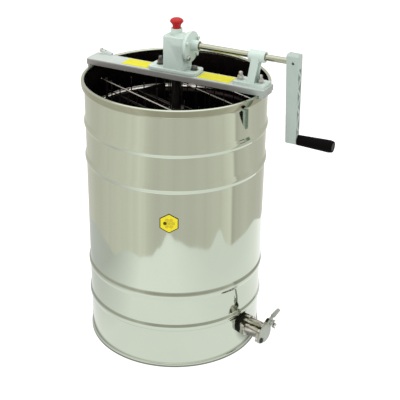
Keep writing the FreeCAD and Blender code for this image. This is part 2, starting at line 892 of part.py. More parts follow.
def bearing_pedestal():
    """The column is an H in section and leans outboard as it rises, which leaves room for the stud beside its foot."""
    base = box(
        (pedestal_left, -of.pedestal_base_width / 2, bar_top),
        (pedestal_right, of.pedestal_base_width / 2, pedestal_seat),
    )
    column = prism(
        "XZ_Plane",
        leaning(column_left, column_right, pedestal_seat, shaft_level),
        of.column_depth,
    )
    at = (pedestal_boss_left, 0, shaft_level)
    boss = faceted(of.pedestal_boss_radius, of.pedestal_boss_length, at, "X", 36)
    groove_width = of.column_depth - 2 * of.column_rib
    groove_top = shaft_level - of.pedestal_boss_radius
    groove_depth = (column_right - column_left - of.column_web) / 2
    spare = of.column_rib
    outboard = prism(
        "XZ_Plane",
        leaning(column_right - groove_depth, column_right + spare, pedestal_seat, groove_top),
        groove_width,
    )
    inboard = prism(
        "XZ_Plane",
        leaning(column_left - spare, column_left + groove_depth, pedestal_seat, groove_top),
        groove_width,
    )
    bore = faceted(crank_bush_outer, of.pedestal_boss_length, at, "X")
    body = fuse(base, column, boss)
    return cut(body, outboard, inboard, bore)


def acorn_nut(x, seat):
    """Domed nut: washer, hexagon and a dome of two rings of facets."""
    flats = of.acorn_flats
    washer = 0.12 * of.acorn_height
    shoulder = 0.5 * of.acorn_height
    dome = [
        (0.46 * flats, 0),
        (0.4 * flats, 0.25 * of.acorn_height),
        (0.2 * flats, 0.5 * of.acorn_height),
    ]
    return fuse(
        faceted(0.72 * flats, washer, (x, 0, seat), sides=12),
        hexagon(flats, shoulder - washer, (x, 0, seat + washer)),
        many_sided(dome, (x, 0, seat + shoulder), sides=12),
    )


def flat_nut(x, seat):
    """Low hexagon nut on its washer."""
    washer = 0.12 * of.acorn_height
    return fuse(
        faceted(0.75 * of.acorn_flats, washer, (x, 0, seat), sides=12),
        hexagon(of.acorn_flats, of.flat_nut_height, (x, 0, seat + washer)),
    )


node("bearing_pedestal", bearing_pedestal())
node(
    "bar_nuts",
    group(
        [
            acorn_nut(-of.housing_stud_left, flange_top),
            flat_nut(of.housing_stud_right, flange_top),
            acorn_nut(pedestal_stud_left, pedestal_seat),
            acorn_nut(pedestal_stud_right, pedestal_seat),
        ]
    ),
)

# ---------------------------------------------------------------------------------------------------------------
# Bronze bearings: the socket that the basket's shaft stands in, its neck bush and the crank shaft's two bushes
# ---------------------------------------------------------------------------------------------------------------
foot_top = of.foot_socket_level + of.foot_socket_depth
foot_base_top = floor_top + of.foot_base_thickness


def foot_bearing():
    """Square base on the tank's floor with a round socket."""
    half = of.foot_base_width / 2
    base = box((-half, -half, floor_top), (half, half, foot_base_top))
    socket = faceted(of.foot_socket_radius, foot_top - foot_base_top, (0, 0, foot_base_top))
    bore = cylinder(
        of.spigot_radius + of.running_clearance,
        of.foot_socket_depth,
        (0, 0, of.foot_socket_level),
    )
    return cut(fuse(base, socket), bore)


def bush(bore, outer, length, at, axis):
    """Plain bush with an exact bore."""
    return cut(faceted(outer, length, at, axis), cylinder(bore, length, at, axis))


node(
    "bearings",
    group(
        [
            foot_bearing(),
            bush(neck_bore, neck_bush_outer, neck_bush_top - of.tank_height, (0, 0, of.tank_height), "Z"),
            bush(
                crank_bush_bore,
                crank_bush_outer,
                cover_boss_end - drum_right,
                (drum_right, 0, shaft_level),
                "X",
            ),
            bush(
                crank_bush_bore,
                crank_bush_outer,
                of.pedestal_boss_length,
                (pedestal_boss_left, 0, shaft_level),
                "X",
            ),
        ]
    ),
)
node(
    "thrust_pad",
    faceted(of.spigot_radius - 2 * of.running_clearance, of.thrust_pad_thickness, (0, 0, of.foot_socket_level)),
)

# ---------------------------------------------------------------------------------------------------------------
# Crank: shaft, arm with a braced hollow face, spindle and turning grip
# ---------------------------------------------------------------------------------------------------------------
grip_level = shaft_level - of.crank_radius
arm_top = shaft_level + of.arm_above_shaft
arm_face_top = bar_half_length + of.arm_gap_top
arm_face_bottom = bar_half_length + of.arm_gap_bottom
arm_bottom = grip_level - of.arm_below_grip
arm_length = arm_top - arm_bottom
arm_outer_top = arm_face_top + of.arm_thickness_top
arm_outer_bottom = arm_face_bottom + of.arm_thickness_bottom
arm_shaft_end = arm_outer_top - of.arm_shaft_cover
grip_boss_end = arm_outer_bottom + of.grip_boss_rise
grip_start = grip_boss_end + of.grip_gap
spindle_start = grip_boss_end - of.spindle_seat

node(
    "crank_shaft",
    cylinder(
        of.crank_shaft_radius,
        arm_shaft_end - gear_front,
        (gear_front, 0, shaft_level),
        "X",
    ),
)


def arm_half_width(level):
    """Half the arm's width at a height."""
    share = (level - arm_bottom) / arm_length
    return (of.arm_width_bottom + share * (of.arm_width_top - of.arm_width_bottom)) / 2


def arm_pockets():
    """Triangular pockets that leave a zigzag rib between the arm's two side walls."""
    low = grip_level + of.grip_inner_end_radius + of.arm_rib
    high = shaft_level - of.crank_shaft_radius - 2 * of.arm_rib
    count = int(round(of.arm_pocket_count.number))
    step = (high - low) / count
    cut_back = 1.6 * of.arm_rib
    pockets = []
    for index in range(count):
        bottom = low + index * step
        top = bottom + step
        wide_bottom = arm_half_width(bottom) - of.arm_skin
        wide_top = arm_half_width(top) - of.arm_skin
        lean = 1 if index % 2 else -1
        for side in (-1, 1):
            if side == lean:
                corners = [
                    (side * wide_bottom, bottom),
                    (side * wide_top, top - cut_back),
                    (side * (of.arm_rib - wide_bottom), bottom),
                ]
            else:
                corners = [
                    (side * wide_top, top),
                    (side * wide_bottom, bottom + cut_back),
                    (side * (of.arm_rib - wide_top), top),
                ]
            pockets.append(corners)
    face = (arm_outer_bottom + arm_outer_top) / 2
    return [prism("YZ_Plane", corners, 2 * of.arm_pocket_depth, (face, 0, 0)) for corners in pockets]


def crank_arm():
    """Tapered arm, solid round the shaft and the spindle and braced by a zigzag rib between them."""
    side = prism(
        "XZ_Plane",
        [
            (arm_face_bottom, arm_bottom),
            (arm_outer_bottom, arm_bottom),
            (arm_outer_top, arm_top),
            (arm_face_top, arm_top),
        ],
        2 * of.arm_width_top,
    )
    half_top = of.arm_width_top / 2
    half_bottom = of.arm_width_bottom / 2
    front = prism(
        "YZ_Plane",
        [
            (of.arm_chamfer - half_bottom, arm_bottom),
            (half_bottom - of.arm_chamfer, arm_bottom),
            (half_bottom, arm_bottom + of.arm_chamfer),
            (half_top, arm_top - of.arm_chamfer),
            (half_top - of.arm_chamfer, arm_top),
            (of.arm_chamfer - half_top, arm_top),
            (-half_top, arm_top - of.arm_chamfer),
            (-half_bottom, arm_bottom + of.arm_chamfer),
        ],
        4 * of.arm_thickness_top,
        (arm_face_bottom, 0, 0),
    )
    boss = faceted(of.grip_boss_radius, of.spindle_seat, (spindle_start, 0, grip_level), "X")
    shaft_hole = cylinder(of.crank_shaft_radius, arm_shaft_end, (0, 0, shaft_level), "X")
    spindle_hole = cylinder(of.spindle_radius, of.spindle_seat, (spindle_start, 0, grip_level), "X")
    screw_hole = faceted(
        of.set_screw_radius,
        of.arm_width_top,
        (arm_outer_top - of.set_screw_inset, -of.arm_width_top, shaft_level),
        "Y",
        12,
    )
    return cut(fuse(common(side, front), boss), shaft_hole, spindle_hole, screw_hole, *arm_pockets())


node("crank_arm", crank_arm())

grip_end = grip_start + of.grip_length
recess_floor = grip_end - of.grip_recess_depth
spindle_bore = of.spindle_radius + of.running_clearance


def crank_grip():
    """Tapered grip that swells outwards, free on its spindle."""
    side = [
        (of.grip_inner_end_radius, 0),
        (0.93 * of.grip_outer_end_radius, 0.55 * of.grip_length),
        (of.grip_outer_end_radius, 0.9 * of.grip_length),
        (0.87 * of.grip_outer_end_radius, of.grip_length),
    ]
    return cut(
        many_sided(side, (grip_start, 0, grip_level), "X"),
        cylinder(spindle_bore, of.grip_length, (grip_start, 0, grip_level), "X"),
        faceted(of.grip_recess_radius, of.grip_recess_depth, (recess_floor, 0, grip_level), "X"),
    )


node("crank_grip", crank_grip())
head_start = recess_floor + of.grip_gap
node(
    "grip_spindle",
    fuse(
        cylinder(of.spindle_radius, head_start - spindle_start, (spindle_start, 0, grip_level), "X"),
        hexagon(2 * of.spindle_head_radius, of.spindle_head_thickness, (head_start, 0, grip_level), "X"),
    ),
)

# ---------------------------------------------------------------------------------------------------------------
# Brake: a push knob presses the foot of its spindle on the end of the basket's shaft, and a spring lifts it
# ---------------------------------------------------------------------------------------------------------------
foot_of_brake = block_roof - of.brake_foot_thickness - of.brake_lift_gap
basket_shaft_top = foot_of_brake - of.brake_gap
stem_bottom = boss_top - of.knob_stem_engaged
well_depth = stem_bottom - block_top_level
knob_cap_level = block_top_level + of.knob_cap_rise
cap_top = knob_cap_level + of.knob_cap_height


def brake_knob():
    """Stem that slides in the boss and a domed cap that the palm pushes."""
    reach = knob_cap_level - stem_bottom
    side = [
        (of.knob_stem_radius, 0),
        (of.knob_stem_radius, reach - 0.5 * of.knob_cap_height),
        (0.74 * of.knob_cap_radius, reach - 0.2 * of.knob_cap_height),
        (0.96 * of.knob_cap_radius, reach + 0.12 * of.knob_cap_height),
        (of.knob_cap_radius, reach + 0.3 * of.knob_cap_height),
        (0.9 * of.knob_cap_radius, reach + 0.62 * of.knob_cap_height),
        (0.65 * of.knob_cap_radius, reach + 0.87 * of.knob_cap_height),
        (0.3 * of.knob_cap_radius, reach + of.knob_cap_height),
    ]
    return many_sided(side, (0, 0, stem_bottom))


def brake_spindle():
    """Spindle from the knob's stem down through the housing's roof, with a wide foot below the roof."""
    return fuse(
        faceted(of.brake_foot_radius, of.brake_foot_thickness, (0, 0, foot_of_brake)),
        cylinder(of.stub_radius, stem_bottom - foot_of_brake, (0, 0, foot_of_brake)),
    )


def knob_spring():
    """Compression spring of square wire round the spindle, in the boss below the knob's stem."""
    wire = of.spring_wire_radius.number
    turns = of.spring_turn_count.number
    climb = well_depth.number - 2 * wire - 2 * of.spring_end_gap.number
    steps = int(round(turns * 12))
    rings = []
    for index in range(steps + 1):
        angle = 2 * math.pi * turns * index / steps
        outwards = Vector(math.cos(angle), math.sin(angle), 0)
        level = block_top_level.number + of.spring_end_gap.number + wire + climb * index / steps
        centre = outwards * of.spring_radius.number + Vector(0, 0, level)
        rise = Vector(0, 0, wire)
        spread = outwards * wire
        rings.append([centre + spread + rise, centre - spread + rise, centre - spread - rise, centre + spread - rise])
    return made(twisted(rings), "spring")


def twisted(rings):
    """Solid through rings of four corners that don't lie flat between each other, so each side is two triangles."""
    faces = [Part.Face(Part.makePolygon(ring + ring[:1])) for ring in (rings[0], rings[-1])]
    for lower, upper in zip(rings, rings[1:]):
        for index in range(4):
            following = (index + 1) % 4
            for corners in (
                [lower[index], lower[following], upper[following]],
                [lower[index], upper[following], upper[index]],
            ):
                faces.append(Part.Face(Part.makePolygon(corners + corners[:1])))
    solid = Part.makeSolid(Part.makeShell(faces))
    if solid.Volume < 0:
        solid.reverse()
    return solid


node("brake_knob", brake_knob())
node("brake_spindle", brake_spindle())
node("knob_spring", knob_spring())

# ---------------------------------------------------------------------------------------------------------------
# Basket: a stepped shaft carries two spiders, and they carry a welded cage with a screen each side of each comb
# ---------------------------------------------------------------------------------------------------------------
spigot_start = of.foot_socket_level + of.thrust_pad_thickness + of.end_play
spigot_end = foot_top + of.spigot_rise
shoulder = of.tank_height - of.end_play
basket_half_length = of.tank_inner_radius - of.basket_side_gap
basket_top_level = of.tank_height - of.basket_top_drop
top_strap_level = basket_top_level - of.top_strap_drop
bottom_strap_level = of.basket_bottom_level + of.bottom_strap_rise
basket_outer = of.basket_half_width - of.basket_rod_radius
basket_inner_length = basket_half_length - 3 * of.basket_rod_radius
cage_bottom = of.basket_bottom_level - of.basket_rod_radius
cage_height = basket_top_level + of.basket_rod_radius - cage_bottom
strap_end = basket_inner_length - of.strap_thickness
screen_face = basket_outer - 4 * of.screen_wire_radius


def in_basket_frame(things):
    """Pieces of the basket, turned from the X axis to the basket's rest angle."""
    return group(things, of.basket_rest_angle)


node(
    "basket_shaft",
    revolved(
        [
            (0, spigot_start),
            (of.spigot_radius, spigot_start),
            (of.spigot_radius, spigot_end),
            (of.basket_shaft_radius, spigot_end),
            (of.basket_shaft_radius, shoulder),
            (of.neck_radius, shoulder),
            (of.neck_radius, neck_top),
            (of.stub_radius, neck_top),
            (of.stub_radius, basket_shaft_top),
            (0, basket_shaft_top),
        ]
    ),
)


def ring(level, closed=True):
    """Two long rods and, where the ring is closed, two short ones welded between them."""
    radius = of.basket_rod_radius
    long_half = basket_half_length + radius
    rods = []
    for side in (-1, 1):
        rods.append(faceted(radius, 2 * long_half, (-long_half, side * of.basket_half_width, level), "X", 8))
        if closed:
            at = (side * basket_half_length, -basket_outer, level)
            rods.append(faceted(radius, 2 * basket_outer, at, "Y", 8))
    return rods


def posts():
    """Corner posts, welded inside the rings' corners."""
    radius = of.basket_rod_radius
    found = []
    for x_side in (-1, 1):
        for y_side in (-1, 1):
            x = x_side * (basket_half_length - 2 * radius)
            y = y_side * (of.basket_half_width - 2 * radius)
            found.append(faceted(radius, cage_height, (x, y, cage_bottom), "Z", 8))
    return found


def screen(offset, side, uprights, rows):
    """Welded screen: uprights whose outer faces lie at the offset from the axis, and rows inside them."""
    half = basket_inner_length - of.basket_rod_radius
    upright_count = int(round(uprights.number))
    row_count = int(round(rows.number))
    wires = []
    for index in range(upright_count):
        x = half * (2.0 * (index + 0.5) / upright_count - 1)
        at = (x, side * (offset - of.screen_wire_radius), cage_bottom)
        wires.append(faceted(of.screen_wire_radius, cage_height, at, "Z", 6))
    for index in range(row_count):
        level = cage_bottom + cage_height * ((index + 0.5) / row_count)
        at = (-half, side * (offset - 3 * of.screen_wire_radius), level)
        wires.append(faceted(of.screen_wire_radius, 2 * half, at, "X", 6))
    return wires


def spider(level):
    """Hub on the shaft with a flat arm to each end of the basket, and a strap across each end."""
    half = of.strap_thickness / 2
    top = level + of.strap_height
    pieces = [
        faceted(of.hub_radius, of.strap_height, (0, 0, level)),
        box((-strap_end, -half, level), (strap_end, half, top)),
    ]
    for side in (-1, 1):
        low, high = in_order(side * strap_end, side * basket_inner_length)
        pieces.append(box((low, -screen_face, level), (high, screen_face, top)))
    bore = cylinder(of.basket_shaft_radius, of.strap_height, (0, 0, level))
    return cut(fuse(*pieces), bore)


def comb_rest(side):
    """Shallow plate that a comb stands on, between the inner and outer screens."""
    low, high = in_order(side * of.inner_screen_offset, side * screen_face)
    top = bottom_strap_level
    return box((-strap_end, low, top - of.rest_plate_thickness), (strap_end, high, top))


node("basket_top_ring", in_basket_frame(ring(basket_top_level, False)))
node("basket_middle_ring", in_basket_frame(ring((basket_top_level + of.basket_bottom_level) / 2)))
node("basket_bottom_ring", in_basket_frame(ring(of.basket_bottom_level)))
node("basket_posts", in_basket_frame(posts()))
for side, place in ((-1, "front"), (1, "back")):
    outer_screen = screen(basket_outer, side, of.screen_upright_count, of.screen_row_count)
    inner_screen = screen(of.inner_screen_offset, side, of.inner_upright_count, of.inner_row_count)
    node(f"outer_screen_{place}", in_basket_frame(outer_screen))
    node(f"inner_screen_{place}", in_basket_frame(inner_screen))
node("top_spider", in_basket_frame([spider(top_strap_level)]))
node("bottom_spider", in_basket_frame([spider(bottom_strap_level)]))
node("comb_rests", in_basket_frame([comb_rest(-1), comb_rest(1)]))

# ---------------------------------------------------------------------------------------------------------------
# Honey gate, drawn with its bore along X: across is its Y, and up is up
# ---------------------------------------------------------------------------------------------------------------
gate_z = of.gate_level
gate_reach = tank_outer + of.gate_length
flange_back = gate_reach - of.gate_flange_thickness
gasket_face = tank_outer + of.gate_gasket_thickness
collar_face = gasket_face + of.gate_collar_thickness
pivot_across, pivot_level = -of.gate_pivot_across, gate_z - of.gate_pivot_below
stud_across, stud_level = of.gate_stud_across, gate_z + of.gate_stud_above
gate_nut_face = root(
    of.tank_inner_radius * of.tank_inner_radius - of.gate_nut_radius * of.gate_nut_radius
)
nut_start = gate_nut_face - of.gate_nut_thickness - of.end_play
pipe_start = nut_start - of.gate_pipe_end
flap_start = gate_reach + of.gate_seal_gap
flap_face = flap_start + of.flap_thickness
wing_seat = flap_face + of.gate_seal_gap


def gate_gasket():
    """Rubber ring between the gate's collar and the curved wall, pressed over the lower half of the first bead."""
    back = tank_outer - of.gate_gasket_thickness
    length = gasket_face - back
    bore = of.gate_pipe_radius + of.gate_hole_clearance
    disc = faceted(of.gate_gasket_radius, length, (back, 0, gate_z), "X", 36)
    hole = faceted(bore, length, (back, 0, gate_z), "X")
    wall = revolved(
        [
            (0, gate_z - of.gate_gasket_radius),
            (tank_outer, gate_z - of.gate_gasket_radius),
            (tank_outer, of.bead_one_level - of.bead_half_height),
            (tank_outer + of.bead_rise, of.bead_one_level),
            (0, of.bead_one_level),
        ]
    )
    return cut(disc, hole, wall)


def hull(centre_one, radius_one, centre_two, radius_two, start, thickness):
    """Plate round two circles and the two straight lines that touch both, in the plane across the bore."""
    along = [two.number - one.number for one, two in zip(centre_one, centre_two)]
    apart = math.hypot(*along)
    heading = math.atan2(along[1], along[0])
    spread = math.acos((radius_one - radius_two).number / apart)
    corners = []
    for centre, radius, first, last in (
        (centre_one, radius_one, heading + spread, heading + 2 * math.pi - spread),
        (centre_two, radius_two, heading - spread, heading + spread),
    ):
        steps = max(4, int(round((last - first) / math.radians(12))))
        for index in range(steps + 1):
            angle = first + (last - first) * index / steps
            across = centre[0].number + radius.number * math.cos(angle)
            corners.append(Vector(0, across, centre[1].number + radius.number * math.sin(angle)))
    face = Part.Face(Part.makePolygon(corners + corners[:1]))
    return put(made(face.extrude(Vector(thickness.number, 0, 0)), "hull"), (start, 0, 0))


def eared_plate(radius, start, thickness):
    """Plate with straight flanks from its disc to the pivot below and to the clamping stud beside it."""
    middle = (as_size(0), gate_z - of.gate_plate_drop)
    return [
        hull(middle, radius, (pivot_across, pivot_level), of.gate_ear_radius, start, thickness),
        hull(middle, 0.62 * radius, (stud_across, stud_level), of.gate_ear_radius, start, thickness),
    ]


def gate_body():
    """Pipe through the wall, six-sided collar and eared flange in one casting."""
    length = gate_reach - pipe_start
    collar = hexagon(2 * of.gate_collar_radius, of.gate_collar_thickness, (gasket_face, 0, gate_z), "X")
    pipe = faceted(of.gate_pipe_radius, length, (pipe_start, 0, gate_z), "X", 36)
    bore = faceted(of.gate_bore_radius, length, (pipe_start, 0, gate_z), "X", 36)
    flange = eared_plate(of.gate_flange_radius, flange_back, of.gate_flange_thickness)
    return cut(fuse(pipe, collar, *flange), bore)


def gate_nut():
    """Thin nut on the pipe inside the tank."""
    hole = faceted(of.gate_pipe_radius, of.gate_nut_thickness, (nut_start, 0, gate_z), "X", 36)
    flats = 2 * of.gate_nut_radius * math.cos(math.pi / 6)
    return cut(hexagon(flats, of.gate_nut_thickness, (nut_start, 0, gate_z), "X"), hole)


def slot_sector(radius):
    """Wedge of a disc about the flap's pivot, from the stud downwards, that its open slot is cut with."""
    towards = math.degrees(
        math.atan2((stud_level - pivot_level).number, (stud_across - pivot_across).number)
    )
    corners = [Vector(0, 0, 0)]
    steps = 6
    for index in range(steps + 1):
        angle = math.radians(towards - index * of.flap_slot_angle.number / steps)
        reach = radius.number / math.cos(math.radians(of.flap_slot_angle.number / steps / 2))
        corners.append(Vector(0, reach * math.cos(angle), reach * math.sin(angle)))
    face = Part.Face(Part.makePolygon(corners + corners[:1]))
    wedge = made(face.extrude(Vector(of.flap_thickness.number, 0, 0)), "wedge")
    for letter, size in zip("xyz", (flap_start, pivot_across, pivot_level)):
        bind(wedge, f"Placement.Base.{letter}", size)
    return wedge


def gate_flap():
    """Eared cover plate that swings on the pivot, hooked round the stud, with its bent lever."""
    pieces = eared_plate(of.flap_radius, flap_start, of.flap_thickness)
    lever_across = stud_across + of.lever_offset
    half_lever = of.lever_width / 2
    foot = box(
        (flap_start, lever_across - half_lever, stud_level),
        (flap_face, lever_across + half_lever, stud_level + of.lever_bend),
    )
    tip = stud_level + of.lever_length
    bend = stud_level + of.lever_bend
    handle = prism(
        "XZ_Plane",
        [
            (flap_start, bend - of.lever_thickness),
            (flap_start + of.lever_width, bend),
            (flap_start + of.lever_width + of.lever_splay, tip - 0.3 * of.lever_width),
            (flap_start + 0.6 * of.lever_width + of.lever_splay, tip),
            (flap_start + 0.2 * of.lever_width + of.lever_splay, tip),
            (flap_start, bend + of.lever_thickness),
        ],
        of.lever_thickness,
        (0, lever_across + half_lever - of.lever_thickness / 2, 0),
    )
    stud_reach = root(
        (stud_across - pivot_across) * (stud_across - pivot_across)
        + (stud_level - pivot_level) * (stud_level - pivot_level)
    )
    slot_half = of.gate_stud_radius + of.flap_slot_clearance
    slot = cut(slot_sector(stud_reach + slot_half), slot_sector(stud_reach - slot_half))
    stud_hole = faceted(slot_half, of.flap_thickness, (flap_start, stud_across, stud_level), "X", 16)
    pivot_hole = cylinder(
        of.gate_pin_radius + of.running_clearance,
        of.flap_thickness,
        (flap_start, pivot_across, pivot_level),
        "X",
    )
    return cut(fuse(*pieces, foot, handle), slot, stud_hole, pivot_hole)


def gate_pins():
    """Shoulder screw that the flap swings on, and the stud of the wing nut, both standing on the flange."""
    head_at = flap_face + of.gate_seal_gap
    at = (gate_reach, pivot_across, pivot_level)
    pivot = fuse(
        cylinder(of.gate_pin_radius, head_at - gate_reach, at, "X"),
        hexagon(
            3.6 * of.gate_pin_radius,
            of.gate_head_height,
            (head_at, pivot_across, pivot_level),
            "X",
        ),
    )
    stud_length = wing_seat + 2 * of.wing_nut_height - gate_reach
    stud = cylinder(of.gate_stud_radius, stud_length, (gate_reach, stud_across, stud_level), "X")
    return [pivot, stud]


def wing_nut():
    """Tapered nut with two wings that clamps the flap's ear."""
    side = [(of.wing_nut_radius, 0), (0.75 * of.wing_nut_radius, of.wing_nut_height)]
    pieces = [many_sided(side, (wing_seat, stud_across, stud_level), "X", 16)]
    wing_foot = 0.5 * of.wing_nut_radius
    for side in (-1, 1):
        corners = [
            (wing_seat + 0.25 * of.wing_nut_height, stud_level + side * wing_foot),
            (wing_seat + of.wing_nut_height, stud_level + side * wing_foot),
            (wing_seat + 1.7 * of.wing_nut_height, stud_level + side * of.wing_span),
            (wing_seat + 0.5 * of.wing_nut_height, stud_level + side * 0.9 * of.wing_span),
        ]
        pieces.append(prism("XZ_Plane", corners, of.wing_thickness, (0, stud_across, 0)))
    bore = cylinder(
        of.gate_stud_radius + of.running_clearance,
        2 * of.wing_nut_height,
        (wing_seat, stud_across, stud_level),
        "X",
    )
    return cut(fuse(*pieces), bore)


node("gate_gasket", in_gate_frame([gate_gasket()]))
node("gate_body", in_gate_frame([gate_body()]))
node("gate_nut", in_gate_frame([gate_nut()]))
node("gate_flap", in_gate_frame([gate_flap()]))
node("gate_pins", in_gate_frame(gate_pins()))
node("wing_nut", in_gate_frame([wing_nut()]))

# ---------------------------------------------------------------------------------------------------------------
# Check every object, then write one file for each sub-part
# ---------------------------------------------------------------------------------------------------------------
doc.recompute()
for thing in doc.Objects:
    if "Invalid" in thing.State or "Error" in thing.State:
        raise RuntimeError(f"{thing.Name} ({thing.Label}) failed: {thing.State}")
for name, thing in nodes.items():
    if thing.Shape.isNull() or not thing.Shape.isValid():
        raise RuntimeError(f"{name} has no valid shape")
    if not thing.Shape.Solids:
        raise RuntimeError(f"{name} has no solid")

os.makedirs("parts", exist_ok=True)
for name, thing in nodes.items():
    thing.Shape.exportStep(f"parts/{name}.step")
    print(name, len(thing.Shape.Solids), round(thing.Shape.Volume / 1000, 2), "cm3")
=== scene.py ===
"""Hand-crank honey extractor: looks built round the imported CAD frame.

Metres, +Z up, +X along the cross bar towards the crank, +Y to the back.
"""
import json
import math

import bpy
from mathutils import Euler, Matrix, Vector

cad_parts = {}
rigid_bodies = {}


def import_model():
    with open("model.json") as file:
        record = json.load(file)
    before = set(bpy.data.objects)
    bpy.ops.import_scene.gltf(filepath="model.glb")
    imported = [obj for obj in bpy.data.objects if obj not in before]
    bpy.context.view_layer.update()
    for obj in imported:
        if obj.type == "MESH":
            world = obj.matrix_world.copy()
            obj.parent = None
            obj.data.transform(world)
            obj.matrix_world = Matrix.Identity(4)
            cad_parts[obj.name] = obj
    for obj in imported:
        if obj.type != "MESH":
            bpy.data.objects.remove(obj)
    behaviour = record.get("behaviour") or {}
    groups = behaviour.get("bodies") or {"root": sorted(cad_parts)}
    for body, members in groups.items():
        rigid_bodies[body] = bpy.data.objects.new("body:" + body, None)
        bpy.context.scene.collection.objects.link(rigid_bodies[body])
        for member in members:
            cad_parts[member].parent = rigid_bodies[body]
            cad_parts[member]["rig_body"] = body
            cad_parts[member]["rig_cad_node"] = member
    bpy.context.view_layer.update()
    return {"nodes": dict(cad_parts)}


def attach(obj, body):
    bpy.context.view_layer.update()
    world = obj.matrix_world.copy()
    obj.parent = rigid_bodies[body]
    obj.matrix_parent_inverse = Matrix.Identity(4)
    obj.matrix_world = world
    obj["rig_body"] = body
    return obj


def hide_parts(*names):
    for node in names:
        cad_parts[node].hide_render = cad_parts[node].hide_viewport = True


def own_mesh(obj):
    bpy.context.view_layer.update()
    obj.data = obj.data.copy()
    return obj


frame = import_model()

nodes = frame["nodes"]

# ---------------------------------------------------------------------------
# Camera: a long lens that looks down on the rim from the front, crank side
# to the right.
# ---------------------------------------------------------------------------
bpy.ops.object.camera_add(location=(0.86626, -1.62921, 1.22803))
camera = bpy.context.object
camera.rotation_euler = [math.radians(a) for a in (63.3262, -0.9293, 26.8568)]
camera.data.lens = 86.83
camera.data.sensor_width = 36.0
bpy.context.scene.camera = camera
bpy.context.scene.view_settings.view_transform = "Standard"


# ---------------------------------------------------------------------------
# Studio: a white floor under a white sky, soft lamps, and a beige room wall
# close round the tank that only the polished sheet reflects.
# ---------------------------------------------------------------------------
class Value:
    """A shader socket that Python's own operators join with Math nodes."""

    def __init__(self, tree, socket):
        self.tree = tree
        self.socket = socket

    def math(self, operation, *others, **settings):
        """A Math node on this value and the others."""
        node = self.tree.nodes.new("ShaderNodeMath")
        node.operation = operation
        for name, setting in settings.items():
            setattr(node, name, setting)
        for place, item in enumerate((self, *others)):
            if isinstance(item, Value):
                self.tree.links.new(item.socket, node.inputs[place])
            else:
                node.inputs[place].default_value = item
        return Value(self.tree, node.outputs[0])

    def __add__(self, other):
        return self.math("ADD", other)

    def __sub__(self, other):
        return self.math("SUBTRACT", other)

    def __mul__(self, other):
        return self.math("MULTIPLY", other)

    def __truediv__(self, other):
        return self.math("DIVIDE", other)

    def __rsub__(self, other):
        return self.math("MULTIPLY_ADD", -1.0, other)

    __radd__ = __add__
    __rmul__ = __mul__

    def above(self, edge, width):
        """0 below the edge and 1 above it, over a soft width."""
        return ((self - edge) / width).math("ADD", 0.5, use_clamp=True)


class Finish:
    """A material under construction, with its Principled shader."""

    def __init__(self, name):
        self.material = bpy.data.materials.new(name)
        self.material.use_nodes = True
        self.tree = self.material.node_tree
        self.shader = self.tree.nodes["Principled BSDF"]

    def node(self, kind, settings=None, **sockets):
        """Add a node: its settings first, then its sockets' values or links."""
        made = self.tree.nodes.new("ShaderNode" + kind)
        for name, setting in (settings or {}).items():
            if name == "stops":
                stops = made.color_ramp.elements
                while len(stops) < len(setting):
                    stops.new(1.0)
                for stop, (place, tone) in zip(stops, setting):
                    stop.position = place
                    stop.color = (*tone, 1.0)
            else:
                setattr(made, name, setting)
        return self.feed(made, sockets)

    def feed(self, node, sockets):
        """Link or set a node's sockets, given by name or, as _6, by number."""
        for name, item in sockets.items():
            socket = node.inputs[int(name[1:]) if name[1:].isdigit() else name.replace("_", " ")]
            if isinstance(item, Value):
                self.tree.links.new(item.socket, socket)
            elif isinstance(item, bpy.types.NodeSocket):
                self.tree.links.new(item, socket)
            elif isinstance(item, tuple) and len(item) == 3 and len(socket.default_value) == 4:
                socket.default_value = (*item, 1.0)
            else:
                socket.default_value = item
        return node

    def set(self, **sockets):
        """Set the Principled shader's own sockets."""
        self.feed(self.shader, sockets)

    def place(self, stretch=(1, 1, 1)):
        """Object coordinates, which are the frame's own metres."""
        return self.node("Mapping", Vector=self.node("TexCoord").outputs["Object"], Scale=stretch).outputs[0]

    def along(self, letter):
        """One of the object coordinates."""
        split = self.node("SeparateXYZ", Vector=self.place())
        return Value(self.tree, split.outputs["XYZ".index(letter)])

    def noise(self, scale, detail=2.0, roughness=0.5, stretch=(1, 1, 1)):
        """Noise about 0.5, drawn out along the axes whose stretch is below 1."""
        made = self.node("TexNoise", Vector=self.place(stretch), Scale=scale, Detail=detail, Roughness=roughness)
        return Value(self.tree, made.outputs[0])

    def mix(self, share, one, other):
        """Colour between one and other."""
        return self.node("Mix", {"data_type": "RGBA"}, _0=share, _6=one, _7=other).outputs[2]

    def bumped(self, height, depth, strength=1.0):
        """Bump the surface by a height from 0 to 1 that is depth metres tall."""
        self.set(Normal=self.node("Bump", Height=height, Distance=depth, Strength=strength).outputs[0])


def mottled(name, noise, one, other, roughness, spread=0.0, **sockets):
    """Finish that one noise varies between two colours and, by the spread, in roughness."""
    finish = Finish(name)
    finish.mottle = finish.noise(*noise)
    finish.set(
        Base_Color=finish.mix(finish.mottle, one, other),
        Roughness=roughness + spread * finish.mottle if spread else roughness,
        **sockets,
    )
    return finish


def only_selected(*things):
    """Select these objects alone, the first of them active."""
    bpy.ops.object.select_all(action="DESELECT")
    for thing in things:
        thing.select_set(True)
    if things:
        bpy.context.view_layer.objects.active = things[0]


def dressed(thing, *finishes, second=None):
    """Give a piece its finishes, and the second one to the faces that pass a test."""
    thing.data.materials.clear()
    for finish in finishes:
        thing.data.materials.append(finish.material)
    if second:
        for face in thing.data.polygons:
            face.material_index = int(second(face))
    return thing


